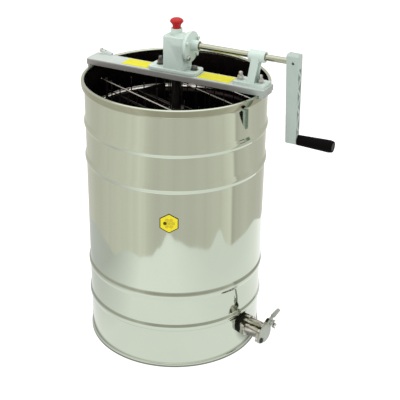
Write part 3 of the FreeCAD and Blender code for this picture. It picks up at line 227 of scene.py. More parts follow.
def placed(piece, location=(0, 0, 0), rotation=(0, 0, 0), scale=(1, 1, 1)):
    """Move, turn (degrees) and scale a piece, and leave its object at the origin."""
    only_selected(piece)
    turn = Euler([math.radians(a) for a in rotation]).to_matrix().to_4x4()
    piece.matrix_world = Matrix.Translation(location) @ turn @ Matrix.Diagonal((*scale, 1.0)) @ piece.matrix_world
    bpy.ops.object.transform_apply(location=True, rotation=True, scale=True)
    return piece


def level_card(name, size, finish, level=0.0):
    """Square card that lies level across the tank's axis."""
    only_selected()
    bpy.ops.mesh.primitive_plane_add(size=size)
    card = dressed(placed(bpy.context.object, (0, 0, level)), finish)
    card.name = name
    return card


floor_paint = Finish("studio_floor_paint")
floor_paint.set(Base_Color=(0.30, 0.30, 0.30), Roughness=0.9, Emission_Color=(1.0, 1.0, 1.0), Emission_Strength=0.86)
studio_floor = level_card("studio_floor", 14.0, floor_paint)
studio_floor.visible_glossy = False


def reflections_only(card):
    """Hide a stage card from everything but the gloss of the metal."""
    for kind in ("camera", "diffuse", "shadow", "transmission"):
        setattr(card, "visible_" + kind, False)


# what the metal sees of the floor: dimmer at the sides, with painted shadow at the tank's foot and under the gate
FOOT_SHADE_RADIUS, GATE_SHADE_RADIUS, GATE_SHADE = 0.1965, 0.036, (0.222, 0.030)
floor_glow = Finish("floor_glow")
east, north = floor_glow.along("X"), floor_glow.along("Y")
away = (east * east + north * north).math("SQRT")
gate_east, gate_north = east - GATE_SHADE[0], north - GATE_SHADE[1]
gate_away = (gate_east * gate_east + gate_north * gate_north).math("SQRT")
glow = 0.93 - 0.43 * (0.0 - east).above(0.29, 0.34) - 0.14 * east.above(0.42, 0.30) + 0.07 * away.above(0.42, 0.20)
foot_light = 0.30 + 0.70 * away.above(FOOT_SHADE_RADIUS, 0.008)
glow = glow * foot_light * (0.25 + 0.75 * gate_away.above(GATE_SHADE_RADIUS, 0.04))
floor_glow.set(
    Base_Color=(0.0, 0.0, 0.0),
    Roughness=1.0,
    Emission_Color=floor_glow.mix(glow, (0.0, 0.0, 0.0), (1.0, 1.0, 1.0)),
    Emission_Strength=1.13,
)
reflections_only(level_card("floor_glow_card", 9.0, floor_glow, 0.0002))

sky_glow = Finish("sky_glow")
sky_glow.set(Base_Color=(0.0, 0.0, 0.0), Roughness=1.0, Emission_Color=(1.0, 1.0, 0.97), Emission_Strength=1.5)
reflections_only(level_card("sky_glow_card", 4.0, sky_glow, 2.3))

# room wall: bearing in degrees from +X, distance in metres, and how pale it is from BEIGE to PALE
ROOM = [
    (-171, 0.640, 0.05), (-150, 0.621, 0.15), (-138, 0.601, 0.35), (-120, 0.646, 0.45), (-110, 0.650, 0.65),
    (-103, 0.645, 0.90), (-97, 0.655, 0.70), (-90, 0.662, 0.20), (-81, 0.695, 0.12), (-70, 0.745, 0.00),
    (-61, 0.723, 0.00), (-43, 0.698, 0.05), (-24, 0.680, 0.15), (-10, 0.731, 0.25), (-1, 0.670, 0.90),
    (4, 0.654, 0.95), (7, 0.652, -0.35), (13, 0.654, -0.05), (27, 0.656, 0.20), (47, 0.667, -0.10),
    (80, 0.605, 0.05), (100, 0.60, 0.05), (125, 0.56, 0.05), (152, 0.60, 0.05),
]
BEIGE = (0.73, 0.70, 0.64)
PALE = (1.04, 1.00, 0.93)


def room_distance(bearing):
    """Distance of the room wall at a bearing, eased between the two that are given beside it."""
    stops = [(b, d) for b, d, pale in ROOM]
    stops = [(stops[-1][0] - 360, stops[-1][1])] + stops + [(stops[0][0] + 360, stops[0][1])]
    for (low, first), (high, second) in zip(stops, stops[1:]):
        if low <= bearing <= high:
            share = (bearing - low) / (high - low)
            return first + (second - first) * share * share * (3 - 2 * share)


ROOM_HEIGHT = 1.3
only_selected()
bpy.ops.mesh.primitive_cylinder_add(vertices=180, radius=1.0, depth=ROOM_HEIGHT, end_fill_type="NOTHING")
room_wall = placed(bpy.context.object, (0, 0, ROOM_HEIGHT / 2))
room_wall.name = "room_wall"
for vertex in room_wall.data.vertices:
    distance = room_distance(math.degrees(math.atan2(vertex.co.y, vertex.co.x)))
    vertex.co.x *= distance
    vertex.co.y *= distance
room_tone = Finish("room_tone")
bearing_share = room_tone.along("Y").math("ARCTAN2", room_tone.along("X")) / (2 * math.pi) + 0.5
wall_stops = [(b / 360 + 0.5, tuple(x + pale * (y - x) for x, y in zip(BEIGE, PALE))) for b, d, pale in ROOM]
upright_streaks = room_tone.noise(5.5, 2.0, 0.5, (1, 1, 0.03)).above(0.50, 0.30)
room_tone.set(
    Base_Color=(0.0, 0.0, 0.0),
    Roughness=1.0,
    Emission_Color=room_tone.mix(
        0.20 * upright_streaks,
        room_tone.node("ValToRGB", {"stops": wall_stops}, Fac=bearing_share).outputs[0],
        (0.48, 0.45, 0.40),
    ),
    Emission_Strength=1.0,
)
reflections_only(dressed(room_wall, room_tone))

world = bpy.data.worlds.new("studio_sky")
bpy.context.scene.world = world
world.use_nodes = True
world.node_tree.nodes["Background"].inputs[0].default_value = (1.0, 1.0, 1.0, 1.0)
world.node_tree.nodes["Background"].inputs[1].default_value = 0.85
for name, place, size, power in (
    ("lamp_left", (-1.7, -1.6, 1.9), 1.4, 22),
    ("lamp_right", (2.2, -0.9, 1.6), 1.2, 10),
    ("lamp_top", (0.2, 0.5, 2.6), 1.6, 24),
):
    bpy.ops.object.light_add(type="AREA", location=place)
    lamp = bpy.context.object
    lamp.name = name
    lamp.data.size = size
    lamp.data.energy = power
    lamp.rotation_euler = (Vector((0, 0, 0.35)) - Vector(place)).to_track_quat("-Z", "Y").to_euler()

# ---------------------------------------------------------------------------
# Tank: stainless sheet rolled round and seam-welded at the back, with four
# beads swaged into it, a rolled rim and a folded hem, polished outside.
# ---------------------------------------------------------------------------
INNER, OUTER, SHEET = 0.184, 0.1852, 0.0012
BEADS = (0.097, 0.173, 0.415, 0.490)
BEAD_RISE, BEAD_HALF = 0.003, 0.011
GATE_TURN, GATE_LEVEL = -10.0, 0.063


def turned(name, section, sides, smooth):
    """Piece spun about the Z axis from a closed section of (radius, height) points."""
    only_selected()
    bpy.ops.mesh.primitive_plane_add(size=0.001)
    bpy.ops.object.mode_set(mode="EDIT")
    bpy.ops.mesh.merge(type="CENTER")
    bpy.ops.transform.translate(value=(section[0][0], 0, section[0][1]))
    for start, end in zip(section, section[1:] + section[:1]):
        bpy.ops.mesh.extrude_region_move(
            TRANSFORM_OT_translate={"value": (end[0] - start[0], 0, end[1] - start[1])}
        )
    bpy.ops.mesh.select_all(action="SELECT")
    bpy.ops.mesh.spin(steps=sides, angle=2 * math.pi, center=(0, 0, 0), axis=(0, 0, 1))
    bpy.ops.mesh.select_all(action="SELECT")
    bpy.ops.mesh.remove_doubles(threshold=0.000001)
    bpy.ops.mesh.normals_make_consistent(inside=False)
    bpy.ops.object.mode_set(mode="OBJECT")
    bpy.ops.object.shade_smooth_by_angle(angle=math.radians(smooth))
    bpy.context.object.name = name
    return bpy.context.object


def arc(centre, radius, start, end, steps):
    """Points of an arc in a section, angles in degrees from +radius to +height."""
    angles = [math.radians(start + (end - start) * step / steps) for step in range(steps + 1)]
    return [(centre[0] + radius * math.cos(a), centre[1] + radius * math.sin(a)) for a in angles]


def combined(piece, other, smooth=40.0, operation="DIFFERENCE"):
    """Cut a piece with another, or join it on, which uses the other up."""
    only_selected(piece)
    combining = piece.modifiers.new("combining", "BOOLEAN")
    combining.object = other
    combining.operation = operation
    bpy.ops.object.modifier_apply(modifier="combining")
    bpy.data.objects.remove(other)
    bpy.ops.object.shade_smooth_by_angle(angle=math.radians(smooth))


def rod(radius, length, location=(0, 0, 0), rotation=(0, 0, 0), sides=16):
    """Round bar whose middle is at the location, along Z before it is turned."""
    only_selected()
    bpy.ops.mesh.primitive_cylinder_add(vertices=sides, radius=radius, depth=length)
    return placed(bpy.context.object, location, rotation)


def eased(piece, width, segments=3, sharp=50.0, smooth=35.0):
    """Round a piece's sharp edges over."""
    only_selected(piece)
    rounding = piece.modifiers.new("rounding", "BEVEL")
    rounding.width = width
    rounding.segments = segments
    rounding.limit_method = "ANGLE"
    rounding.angle_limit = math.radians(sharp)
    bpy.ops.object.modifier_apply(modifier="rounding")
    bpy.ops.object.shade_smooth_by_angle(angle=math.radians(smooth))
    return piece


def block(low, high, corner, edge, steps=5):
    """Box between two corners: upright edges rounded by corner, the others by edge."""
    only_selected()
    bpy.ops.mesh.primitive_cube_add(size=1.0)
    middle = [(a + b) / 2 for a, b in zip(low, high)]
    piece = placed(bpy.context.object, middle, scale=[b - a for a, b in zip(low, high)])
    bpy.ops.object.mode_set(mode="EDIT")
    bpy.ops.mesh.select_mode(type="EDGE")
    bpy.ops.mesh.select_all(action="DESELECT")
    bpy.ops.object.mode_set(mode="OBJECT")
    points = piece.data.vertices
    for line in piece.data.edges:
        line.select = abs(points[line.vertices[0]].co.z - points[line.vertices[1]].co.z) > 1e-6
    bpy.ops.object.mode_set(mode="EDIT")
    bpy.ops.mesh.bevel(offset=corner, segments=steps, affect="EDGES")
    bpy.ops.object.mode_set(mode="OBJECT")
    return eased(piece, edge)


def joined(name, pieces):
    """Several pieces as one."""
    only_selected(*pieces)
    bpy.ops.object.join()
    bpy.context.object.name = name
    return bpy.context.object


# half of a bead, as shares of its half width and of its rise
HALF_BEAD = [(-1.0, 0.0), (-0.82, 0.06), (-0.62, 0.32), (-0.42, 0.72), (-0.24, 0.95), (0.0, 1.0)]
# how far the hem and the flare below the rim stand out from the sheet, and at what height
HEM = [(0.0016, 0.0), (0.0020, 0.0012), (0.0020, 0.0062), (0.0012, 0.0074), (0.0, 0.0082)]
FLARE = [(0.0, 0.5575), (0.0002, 0.5610), (0.0008, 0.5630), (0.0025, 0.5640)]
FLARE += [(0.0041, 0.5643), (0.0055, 0.5653), (0.0060, 0.5680), (0.0062, 0.5725)]
RIM_CENTRE, RIM_RADIUS, LIP = (0.1877, 0.5753), 0.0037, 0.5725
# the first pair is the band of painted dark shade on the rolled rim, the second the groove inside the top bead
RIM_SHADE_BAND, TOP_GROOVE = (0.5615, 0.5768), (0.4905, 0.4985)
SEAM_HALF = 0.003
GATE_HOLE = 0.0189

whole_bead = HALF_BEAD + [(-across, rise) for across, rise in reversed(HALF_BEAD[:-1])]
sheet_line = [
    (OUTER + BEAD_RISE * rise, level + BEAD_HALF * across) for level in BEADS for across, rise in whole_bead
]
section = [(OUTER + out, height) for out, height in HEM] + sheet_line
section += [(OUTER + out, height) for out, height in FLARE]
section += arc(RIM_CENTRE, RIM_RADIUS, 0, 168, 16) + [(INNER, LIP)]
section += [(radius - SHEET, height) for radius, height in reversed(sheet_line)] + [(INNER, 0.0)]
tank_wall = turned("tank_wall", section, 192, 40.0)
gate_drill = rod(GATE_HOLE, 0.05, (0.185, 0, GATE_LEVEL), (0, 90, 0), 64)
combined(tank_wall, placed(gate_drill, rotation=(0, 0, GATE_TURN)))

# mirror polish with a faint drawn grain up the sheet and slow waves from the rolls
polished = Finish("polished_sheet")
grain = polished.noise(60.0, 3.0, 0.6, (1, 1, 0.02))
smudges = polished.noise(9.0, 4.0, 0.6)
seam_side = polished.along("Y").above(0.1, 0.01)
seam = seam_side * (1.0 - polished.along("X").math("ABSOLUTE").above(SEAM_HALF, 0.0025))
height = polished.along("Z")
# painted dark olive shade on the rolled rim's band, mottled by the smudges; it shares the weld seam's dark colour
rim_band = height.above(RIM_SHADE_BAND[0], 0.003) * (1.0 - height.above(RIM_SHADE_BAND[1], 0.0015))
rim_painted_shade = rim_band * (0.55 + 0.75 * smudges)
# on the two low beads, the upper slope of each carries painted shade, a darker line
bead_flank_shade = sum(
    height.above(level + 0.0035, 0.002) * (1.0 - height.above(level + 0.0085, 0.002)) for level in BEADS[:2]
)
clean_sheet = polished.mix(smudges, (0.53, 0.585, 0.485), (0.57, 0.625, 0.525))
polished.set(
    Base_Color=polished.mix(
        seam + 0.75 * rim_painted_shade, polished.mix(0.55 * bead_flank_shade, clean_sheet, (0.20, 0.23, 0.20)), (0.31, 0.31, 0.215)
    ),
    Metallic=1.0,
    Roughness=0.03 + 0.025 * grain + 0.02 * smudges + 0.3 * seam,
)
waves = polished.noise(5.0, 1.0, 0.4, (1, 1, 0.35))
ripples = polished.noise(260.0, 2.0, 0.5, (1, 1, 3))
polished.bumped(waves + 0.002 * grain + 0.12 * seam * ripples, 0.0018)

# the inside sheet, left as rolled, is painted dark as shade, and the top bead's groove
# carries a painted highlight on its left side
shaded = Finish("inside_sheet_painted_shade")
milky = shaded.noise(14.0, 4.0, 0.6, (1, 1, 0.3))
depth = shaded.along("Z")
lit_side = 1.0 - shaded.along("X").above(-0.02, 0.06)
# painted highlight on the left side of the top bead's groove
groove = depth.above(TOP_GROOVE[0], 0.002) * (1.0 - depth.above(TOP_GROOVE[1], 0.003)) * lit_side
shaded.set(
    Base_Color=shaded.mix(
        groove, shaded.mix(milky, (0.030, 0.022, 0.023), (0.085, 0.066, 0.062)), (0.85, 0.83, 0.80)
    ),
    Metallic=1.0,
    Roughness=0.20 + 0.16 * milky,
)
shaded.bumped(0.075 * milky + lit_side * (1.0 - depth.above(0.4945, 0.008)), 0.008)


def inside(face):
    """Whether a face of the wall looks inwards, below the rolled rim."""
    inward = face.normal.to_2d().dot(face.center.to_2d()) < -0.5 * face.center.to_2d().length
    return inward and face.center.z < LIP + 0.001


dressed(tank_wall, polished, shaded, second=inside)
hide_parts("tank_shell")
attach(tank_wall, "tank")

# the floor is a pressed disc, welded in above the hem, in the inside's painted dark shade
dressed(nodes["tank_floor"], shaded)

# ---------------------------------------------------------------------------
# Badge: a hexagon of printed film on the front of the tank, with a dark
# border and plain comb cells, laid on the curved sheet.
# ---------------------------------------------------------------------------
BADGE_TURN, BADGE_LEVEL, BADGE_RADIUS = -66.0, 0.342, 0.0215


def hexagon_film(radius, across, up, thickness):
    """Six-sided film that stands on a corner, with its back in the YZ plane at X = 0."""
    only_selected()
    bpy.ops.mesh.primitive_cylinder_add(vertices=6, radius=radius, depth=thickness, location=(0, 0, thickness / 2))
    return placed(bpy.context.object, (0, across, up), (90, 0, 90))


def wrapped(film, radius, turn):
    """Divide a film and lay it on a round wall."""
    only_selected(film)
    bpy.ops.object.mode_set(mode="EDIT")
    bpy.ops.mesh.select_all(action="SELECT")
    bpy.ops.mesh.quads_convert_to_tris()
    bpy.ops.mesh.subdivide(number_cuts=4)
    bpy.ops.object.mode_set(mode="OBJECT")
    for vertex in film.data.vertices:
        angle = math.radians(turn) + vertex.co.y / radius
        reach = radius + vertex.co.x
        vertex.co.x, vertex.co.y = reach * math.cos(angle), reach * math.sin(angle)
    return film


amber_film = mottled(
    "amber_film", (240.0, 2.0, 0.5), (0.68, 0.58, 0.008), (0.76, 0.66, 0.012), 0.4, Specular_IOR_Level=0.2
)
dark_ink = mottled(
    "dark_ink", (300.0, 3.0, 0.5), (0.030, 0.022, 0.006), (0.075, 0.060, 0.012), 0.5, Specular_IOR_Level=0.15
)
honey_ink = mottled(
    "honey_ink", (300.0, 3.0, 0.5), (0.48, 0.38, 0.008), (0.58, 0.47, 0.010), 0.45, Specular_IOR_Level=0.2
)

badge_layers = [
    (dark_ink, hexagon_film(BADGE_RADIUS, 0, 0, 0.0003)),
    (amber_film, hexagon_film(0.90 * BADGE_RADIUS, 0, 0, 0.0005)),
]
CELL = 0.0046
for across, up, ink in (
    (0, 0, honey_ink), (1.73, 0, honey_ink), (-1.73, 0, dark_ink),
    (0.865, 1.5, honey_ink), (-0.865, 1.5, honey_ink), (0.865, -1.5, honey_ink), (-0.865, -1.5, honey_ink),
):
    badge_layers.append((ink, hexagon_film(0.88 * CELL, across * CELL, up * CELL, 0.0006)))
for number, (ink, film) in enumerate(badge_layers):
    film.name = f"badge_film_{number}"
    placed(wrapped(film, OUTER, BADGE_TURN), (0, 0, BADGE_LEVEL))
    dressed(film, ink)
    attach(film, "tank")

# ---------------------------------------------------------------------------
# Honey gate: a cast stainless pipe with a hexagon collar and an eared flange,
# sealed on the wall by a rubber ring and drawn up by a nut inside. A flap
# swings over its mouth on a slotted screw, clamped by a wing nut.
# ---------------------------------------------------------------------------
def softened(node, name, width, segments=3):
    """A copy of a CAD solid, merged, with its edges rounded over."""
    source = nodes[node]
    piece = source.copy()
    piece.data = source.data.copy()
    piece.name = name
    piece.parent = None
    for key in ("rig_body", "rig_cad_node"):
        if key in piece:
            del piece[key]
    bpy.context.scene.collection.objects.link(piece)
    only_selected(piece)
    bpy.ops.object.mode_set(mode="EDIT")
    bpy.ops.mesh.select_all(action="SELECT")
    bpy.ops.mesh.remove_doubles(threshold=0.00001)
    bpy.ops.mesh.customdata_custom_splitnormals_clear()
    bpy.ops.mesh.dissolve_limited(angle_limit=math.radians(1.0))
    bpy.ops.object.mode_set(mode="OBJECT")
    eased(piece, width, segments, sharp=28.0, smooth=32.0)
    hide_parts(node)
    return piece


gate_bright = Finish("gate_bright_casting")
brushed = gate_bright.noise(90.0, 3.0, 0.6, (1, 0.1, 1))
# painted dark reflections in streaks, strongest on the top and bottom of the pipe and faint in its middle
painted_dark_reflections = gate_bright.noise(60.0, 3.0, 0.6, (0.5, 1.2, 2.2)).above(0.49, 0.08)
gate_height = gate_bright.along("Z")
reflection_bands = 0.25 + 0.75 * gate_height.above(0.0695, 0.006) + 0.75 * (1.0 - gate_height.above(0.0515, 0.006))
gate_bright.set(
    Base_Color=gate_bright.mix(
        painted_dark_reflections * reflection_bands, gate_bright.mix(brushed, (0.50, 0.49, 0.43), (0.64, 0.63, 0.56)), (0.035, 0.030, 0.020)
    ),
    Metallic=1.0,
    Roughness=0.10 + 0.14 * brushed,
)
gate_bright.bumped(gate_bright.noise(35.0, 3.0, 0.5), 0.0006)
gate_dark = mottled(
    "gate_dark_screw", (200.0, 3.0, 0.6), (0.012, 0.011, 0.008), (0.05, 0.045, 0.03), 0.5, Metallic=0.6
)
gate_matt = mottled(
    "gate_matt_casting", (500.0, 3.0, 0.6), (0.33, 0.355, 0.31), (0.42, 0.445, 0.395), 0.42, 0.15, Metallic=0.55
)
gate_matt.bumped(gate_matt.mottle, 0.0001)
rubber = mottled(
    "black_rubber", (60.0, 4.0, 0.6), (0.004, 0.004, 0.003), (0.012, 0.011, 0.009), 0.5, 0.2, Specular_IOR_Level=0.1
)
RUBBER_ACROSS = 0.93
PIVOT_SLOT = ((0.2450, -0.0179, 0.0440), (0.2470, -0.0161, 0.0600))
for node, name, width, finish, body in (
    ("gate_gasket", "gate_rubber_ring", 0.0010, rubber, "tank"),
    ("gate_body", "gate_casting", 0.0007, gate_bright, "tank"),
    ("gate_nut", "gate_back_nut", 0.0008, gate_bright, "tank"),
    ("gate_flap", "gate_swing_flap", 0.0006, gate_matt, "gate_flap"),
    ("gate_pins", "gate_pivot_and_stud", 0.0003, gate_bright, "tank"),
    ("wing_nut", "gate_wing_nut", 0.0004, gate_matt, "wing_nut"),
):
    piece = dressed(softened(node, name, width), finish)
    if node == "gate_gasket":
        axis = Matrix.Translation((0, 0, GATE_LEVEL)) @ Matrix.Rotation(math.radians(GATE_TURN), 4, "Z")
        piece.data.transform(axis @ Matrix.Diagonal((1.0, RUBBER_ACROSS, RUBBER_ACROSS, 1.0)) @ axis.inverted())
    elif node == "gate_pins":
        slot = block(*PIVOT_SLOT, 0.0002, 0.0002, 2)
        combined(piece, placed(slot, rotation=(0, 0, GATE_TURN)), 32.0)
        dressed(piece, gate_bright, gate_dark, second=lambda face: face.center.z < GATE_LEVEL - 0.003)
    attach(piece, body)

# ---------------------------------------------------------------------------
# Foot bearing and basket: a steel shaft stands on a pad in a bronze socket
# and carries a cage welded from round wire, two spiders and two comb rests.
# ---------------------------------------------------------------------------
bronze = mottled("turned_bronze", (50.0, 4.0, 0.6), (0.20, 0.15, 0.09), (0.40, 0.30, 0.17), 0.28, 0.2, Metallic=1.0)
oiled = mottled("oiled_steel", (70.0, 4.0, 0.6), (0.16, 0.15, 0.14), (0.30, 0.29, 0.27), 0.2, 0.25, Metallic=1.0)
dressed(nodes["bearings"], bronze)
dressed(nodes["thrust_pad"], oiled)

wire_steel = mottled("wire_steel", (30.0, 3.0, 0.6), (0.50, 0.48, 0.46), (0.66, 0.63, 0.60), 0.15, 0.15, Metallic=1.0)
# painted shade: the basket's wire, standing in the dark of the tank, is near black
shaded_wire = mottled(
    "wire_steel_painted_shade", (30.0, 3.0, 0.6), (0.035, 0.030, 0.030), (0.14, 0.125, 0.12), 0.25, 0.2, Metallic=1.0
)
for node in (
    "basket_shaft", "basket_middle_ring", "basket_bottom_ring", "basket_posts",
    "outer_screen_front", "outer_screen_back", "inner_screen_front", "inner_screen_back",
    "top_spider", "bottom_spider", "comb_rests",
):
    dressed(nodes[node], shaded_wire)

# the two top rods are bright and have ball ends; a thinner tie rod is welded on the back inner screen
BASKET_TURN, TOP_ROD_LEVEL = -22.8, 0.551
TOP_ROD_ACROSS, TOP_ROD_HALF, TOP_ROD_RADIUS = 0.082, 0.1440, 0.0019
TIE_ROD_ACROSS, TIE_ROD_HALF, TIE_ROD_RADIUS = 0.0338, 0.1300, 0.0013


def top_rod(across, half_length, radius):
    """Parts of a rod along X with a small ball at each end."""
    parts = [rod(radius, 2 * half_length, (0, across, TOP_ROD_LEVEL), (0, 90, 0))]
    for end in (-half_length, half_length):
        only_selected()
        bpy.ops.mesh.primitive_uv_sphere_add(segments=16, ring_count=8, radius=1.25 * radius)
        parts.append(placed(bpy.context.object, (end, across, TOP_ROD_LEVEL), scale=(0.5, 1, 1)))
    return parts


top_parts = [part for side in (-1, 1) for part in top_rod(side * TOP_ROD_ACROSS, TOP_ROD_HALF, TOP_ROD_RADIUS)]
top_rods = joined("basket_top_rods", top_parts)
tie_rod = joined("basket_tie_rod", top_rod(TIE_ROD_ACROSS, TIE_ROD_HALF, TIE_ROD_RADIUS))
for piece in (top_rods, tie_rod):
    only_selected(piece)
    bpy.ops.object.shade_smooth_by_angle(angle=math.radians(40))
    dressed(placed(piece, rotation=(0, 0, BASKET_TURN)), wire_steel)
    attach(piece, "basket")
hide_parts("basket_top_ring")

# ---------------------------------------------------------------------------
# Cross bar: a sand casting in pale grey-green enamel, darker grey along its
# sides but towards the crank end, held to the rim by grub screws, with a bolt
# in its low hinge lug.
# ---------------------------------------------------------------------------
BAR_TOP, BAR_EDGE, DARK_SIDES_UP_TO = 0.592, 0.5905, 0.150
bar_enamel = Finish("bar_enamel")
bar_sand = bar_enamel.noise(95.0, 4.0, 0.6)
bar_dust = bar_enamel.noise(16.0, 5.0, 0.65)
# the top is pale and the sides darker grey, except towards the crank end
topside = bar_enamel.along("Z").above(BAR_EDGE, 0.0015)
bar_end = bar_enamel.along("X").above(DARK_SIDES_UP_TO, 0.06)
darker_sides = bar_enamel.mix(bar_dust, (0.17, 0.160, 0.148), (0.26, 0.250, 0.232))
bar_enamel.set(
    Base_Color=bar_enamel.mix(
        topside,
        bar_enamel.mix(bar_end, darker_sides, (0.30, 0.335, 0.305)),
        bar_enamel.mix(bar_dust, (0.38, 0.43, 0.40), (0.50, 0.55, 0.52)),
    ),
    Roughness=0.34 + 0.20 * bar_sand,
    Coat_Weight=0.15,
    Coat_Roughness=0.25,
)
bar_enamel.bumped(bar_sand + 0.4 * bar_dust, 0.0004)
bar = dressed(softened("cross_bar", "bar_casting", 0.0010), bar_enamel)
# the hinge lug falls away from its nut towards the middle
LUG_PEAK, LUG_SLOPE, LUG_END = -0.181, 0.019, -0.155
for vertex in bar.data.vertices:
    if vertex.co.x < LUG_END and vertex.co.z > BAR_TOP + 0.0015:
        share = min(max((vertex.co.x - LUG_PEAK) / LUG_SLOPE, 0.0), 1.0)
        vertex.co.z = BAR_TOP + (vertex.co.z - BAR_TOP) * (0.70 - 0.45 * share)
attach(bar, "tank")

zinc = mottled("zinc_plate", (160.0, 3.0, 0.6), (0.46, 0.47, 0.45), (0.66, 0.67, 0.65), 0.20, 0.18, Metallic=1.0)
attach(dressed(softened("rim_screws", "rim_grub_screws", 0.0004, 2), zinc), "tank")

HINGE_LINE, PIN_MIDDLE, NUT_MIDDLE = (0.0185, 0.5985), -0.1845, -0.18725
hinge_pin = rod(0.0025, 0.0140, (PIN_MIDDLE, *HINGE_LINE), (0, 90, 0), 24)
hinge_nut = rod(0.0046, 0.0045, (NUT_MIDDLE, *HINGE_LINE), (0, 90, 0), 6)
hinge_bolt = joined("hinge_lug_bolt", [eased(hinge_pin, 0.0006), eased(hinge_nut, 0.0004)])
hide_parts("hinge_bolt")
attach(dressed(hinge_bolt, zinc), "tank")

# ---------------------------------------------------------------------------
# Plates: two bare yellow enamelled strips, stuck on top of the bar at each
# side of the gear housing.
# ---------------------------------------------------------------------------
plate_yellow = mottled(
    "plate_yellow", (130.0, 3.0, 0.5), (0.58, 0.54, 0.008), (0.68, 0.64, 0.016), 0.40, 0.15, Specular_IOR_Level=0.2
)
plate_yellow.bumped(plate_yellow.mottle, 0.00008)
PLATE_WIDTH, PLATE_THICKNESS, PLATE_CENTRE = 0.0352, 0.0006, -0.0012
for name, low, high in (("plate_left", -0.1175, -0.058), ("plate_right", 0.0555, 0.1245)):
    only_selected()
    bpy.ops.mesh.primitive_cube_add(size=1.0)
    middle = ((low + high) / 2, PLATE_CENTRE, BAR_TOP + PLATE_THICKNESS / 2)
    plate = placed(bpy.context.object, middle, scale=(high - low, PLATE_WIDTH, PLATE_THICKNESS))
    plate.name = name
    for width, segments in ((0.0018, 4), (0.0002, 2)):
        eased(plate, width, segments, sharp=60.0)
    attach(dressed(plate, plate_yellow), "tank")

# ---------------------------------------------------------------------------
# Gear housing and cover: hollow sand castings in grey-green enamel. Block and
# drum stand on a flange, and four hexagon screws hold the round cover.
# ---------------------------------------------------------------------------
enamel = Finish("grey_green_enamel")
peel = enamel.noise(420.0, 2.0, 0.5)
sand = enamel.noise(95.0, 4.0, 0.6)
dust = enamel.noise(16.0, 5.0, 0.65)
enamel.set(
    Base_Color=enamel.mix(dust, (0.46, 0.555, 0.50), (0.54, 0.64, 0.58)),
    Roughness=0.30 + 0.20 * sand,
    Coat_Weight=0.25,
    Coat_Roughness=0.2,
)
enamel.bumped(0.5 * peel + sand, 0.00025)
SHAFT_LEVEL, HOUSING_SEAT = 0.650, 0.5995
GEAR_ROOM, NECK_HOLE, STUB_HOLE, STEM_HOLE = 0.0203, 0.01005, 0.00405, 0.0088


def along_x(radius, start, end):
    """Round bar on the crank shaft's line, between two places along X."""
    return rod(radius, end - start, ((start + end) / 2, 0, SHAFT_LEVEL), (0, 90, 0), 64)


# flange, then block, drum, the drum's collar and the knob's boss
housing = block((-0.055, -0.0226, BAR_TOP), (0.052, 0.0226, HOUSING_SEAT), 0.009, 0.0013, 7)
for solid in (
    block((-0.0203, -0.0208, 0.5935), (0.0245, 0.0208, 0.6665), 0.003, 0.0028),
    along_x(0.0214, 0.002, 0.0262),
    eased(along_x(0.0252, 0.0245, 0.029), 0.0009),
    eased(rod(0.0115, 0.023, (0, 0, 0.6675), sides=48), 0.0009),
):
    combined(housing, solid, operation="UNION")
# room for the gears, the neck bush, the knob's spindle and its stem
only_selected()
bpy.ops.mesh.primitive_cone_add(vertices=64, radius1=0.012, radius2=GEAR_ROOM, depth=0.006)
gear_cone = placed(bpy.context.object, (0.0067, 0, SHAFT_LEVEL), (0, 90, 0))
for hollow in (
    block((-0.014, -0.017, 0.606), (0.0205, 0.017, 0.662), 0.001, 0.001),
    gear_cone,
    along_x(GEAR_ROOM, 0.0095, 0.0295),
    rod(NECK_HOLE, 0.020, (0, 0, 0.600), sides=48),
    rod(STUB_HOLE, 0.012, (0, 0, 0.665)),
    rod(STEM_HOLE, 0.0206, (0, 0, 0.6777), sides=48),
):
    combined(housing, hollow, 32.0)
housing.name = "housing_casting"
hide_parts("gear_housing")
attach(dressed(housing, enamel), "tank")
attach(dressed(softened("gear_cover", "cover_casting", 0.0011), enamel), "tank")


def low_front(spot):
    """Whether a spot on the cover belongs to its low front screw."""
    return spot.y < 0 and spot.z < SHAFT_LEVEL


# the low front screw is bare and larger, the others are painted over
SCREW_GROWTH = 1.3
cover_screws = softened("cover_screws", "cover_hexagon_screws", 0.0005, 2)
dressed(cover_screws, enamel, zinc, second=lambda face: low_front(face.center))
bare = [vertex.co for vertex in cover_screws.data.vertices if low_front(vertex.co)]
middle = sum(bare, Vector()) / len(bare)
for spot in bare:
    spot.yz = middle.yz + SCREW_GROWTH * (spot.yz - middle.yz)
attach(cover_screws, "tank")
for node in ("drive_pinion", "drive_gear"):
    dressed(nodes[node], oiled)

# ---------------------------------------------------------------------------
# Pedestal: one more enamelled casting, a base with a ribbed leaning column
# that carries the shaft's outboard bush.
# ---------------------------------------------------------------------------
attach(dressed(softened("bearing_pedestal", "pedestal_casting", 0.0010), enamel), "tank")

# ---------------------------------------------------------------------------
# Nuts: zinc plated hexagon nuts on washers, bright on both pedestal studs and
# darkened on the housing's two studs, of which the right one ends low.
# ---------------------------------------------------------------------------
dark_zinc = mottled(
    "dark_zinc_plate", (160.0, 3.0, 0.6), (0.10, 0.10, 0.10), (0.24, 0.24, 0.23), 0.25, 0.2, Metallic=1.0
)
PEDESTAL_SEAT, FLATS, WASHER = 0.598, 0.011, 0.0014


def stud_nut(x, seat, hexagon, top):
    """Washer, hexagon nut and the round end that stands out of it, up to the top."""
    corners = FLATS / 2 / math.cos(math.pi / 6)
    parts = [
        eased(rod(0.72 * FLATS, WASHER, (x, 0, seat + WASHER / 2), sides=32), 0.0003, 2),
        eased(rod(corners, hexagon, (x, 0, seat + WASHER + hexagon / 2), sides=6), 0.0006, 2),
        eased(rod(0.36 * FLATS, top - WASHER, (x, 0, seat + (top + WASHER) / 2), sides=24), 0.0026, 4),
    ]
    return joined("nut", parts)


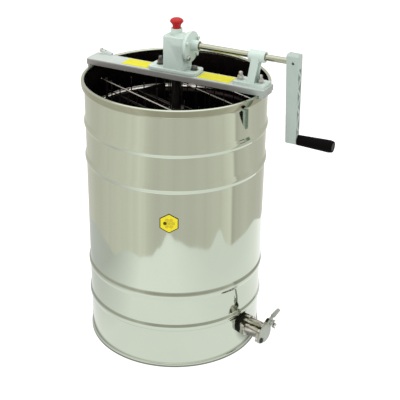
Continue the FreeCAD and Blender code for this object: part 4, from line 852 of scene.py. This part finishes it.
each_nut = [
    stud_nut(0.141, PEDESTAL_SEAT, 0.0062, 0.0160),
    stud_nut(0.183, PEDESTAL_SEAT, 0.0062, 0.0160),
    stud_nut(-0.0365, HOUSING_SEAT, 0.0070, 0.0170),
    stud_nut(0.040, HOUSING_SEAT, 0.0062, 0.0082),
]
nuts = dressed(joined("bar_stud_nuts", each_nut), zinc, dark_zinc, second=lambda face: face.center.x < 0.1)
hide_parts("bar_nuts")
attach(nuts, "tank")

# ---------------------------------------------------------------------------
# Brake knob: a turned red plastic push knob on a steel spindle, lifted by a
# spring in the boss.
# ---------------------------------------------------------------------------
red = mottled(
    "red_knob_plastic", (80.0, 2.0, 0.5), (0.36, 0.003, 0.004), (0.45, 0.005, 0.006), 0.22, 0.08, Specular_IOR_Level=0.3
)
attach(dressed(softened("brake_knob", "red_push_knob", 0.0006), red), "knob")
ground = Finish("ground_steel")
rings = ground.noise(40.0, 2.0, 0.5, (30, 1, 1))
ground.set(Base_Color=(0.44, 0.46, 0.37), Metallic=1.0, Roughness=0.08 + 0.10 * rings)
dressed(nodes["brake_spindle"], ground)
# on the knob the spring's foot stays on the roof while its top goes down; here it rides with the tank on a mesh of its
# own
spring = dressed(softened("knob_spring", "knob_return_spring", 0.0001, 2), oiled)
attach(spring, "tank")
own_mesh(spring)

# ---------------------------------------------------------------------------
# Crank: a ground shaft, an enamelled arm cast hollow with a zigzag rib, and
# a black plastic grip that turns on its spindle.
# ---------------------------------------------------------------------------
dressed(nodes["crank_shaft"], ground)
arm_enamel = mottled(
    "arm_enamel",
    (22.0, 5.0, 0.65),
    (0.31, 0.38, 0.34),
    (0.38, 0.45, 0.41),
    0.32,
    0.20,
    Coat_Weight=0.2,
    Coat_Roughness=0.2,
)
arm_enamel.bumped(arm_enamel.noise(95.0, 4.0, 0.6), 0.00025)
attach(dressed(softened("crank_arm", "arm_casting", 0.0010), arm_enamel), "crank")
black = mottled(
    "black_grip_plastic",
    (700.0, 2.0, 0.5),
    (0.0015, 0.0012, 0.0013),
    (0.004, 0.003, 0.003),
    0.42,
    0.15,
    Specular_IOR_Level=0.03,
)
black.bumped(black.mottle, 0.0001)
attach(dressed(softened("crank_grip", "black_turning_grip", 0.0008), black), "grip")
black_oxide = mottled(
    "black_oxide_steel", (120.0, 3.0, 0.6), (0.010, 0.010, 0.011), (0.03, 0.03, 0.032), 0.4, 0.2, Metallic=0.6
)
dressed(nodes["grip_spindle"], black_oxide)
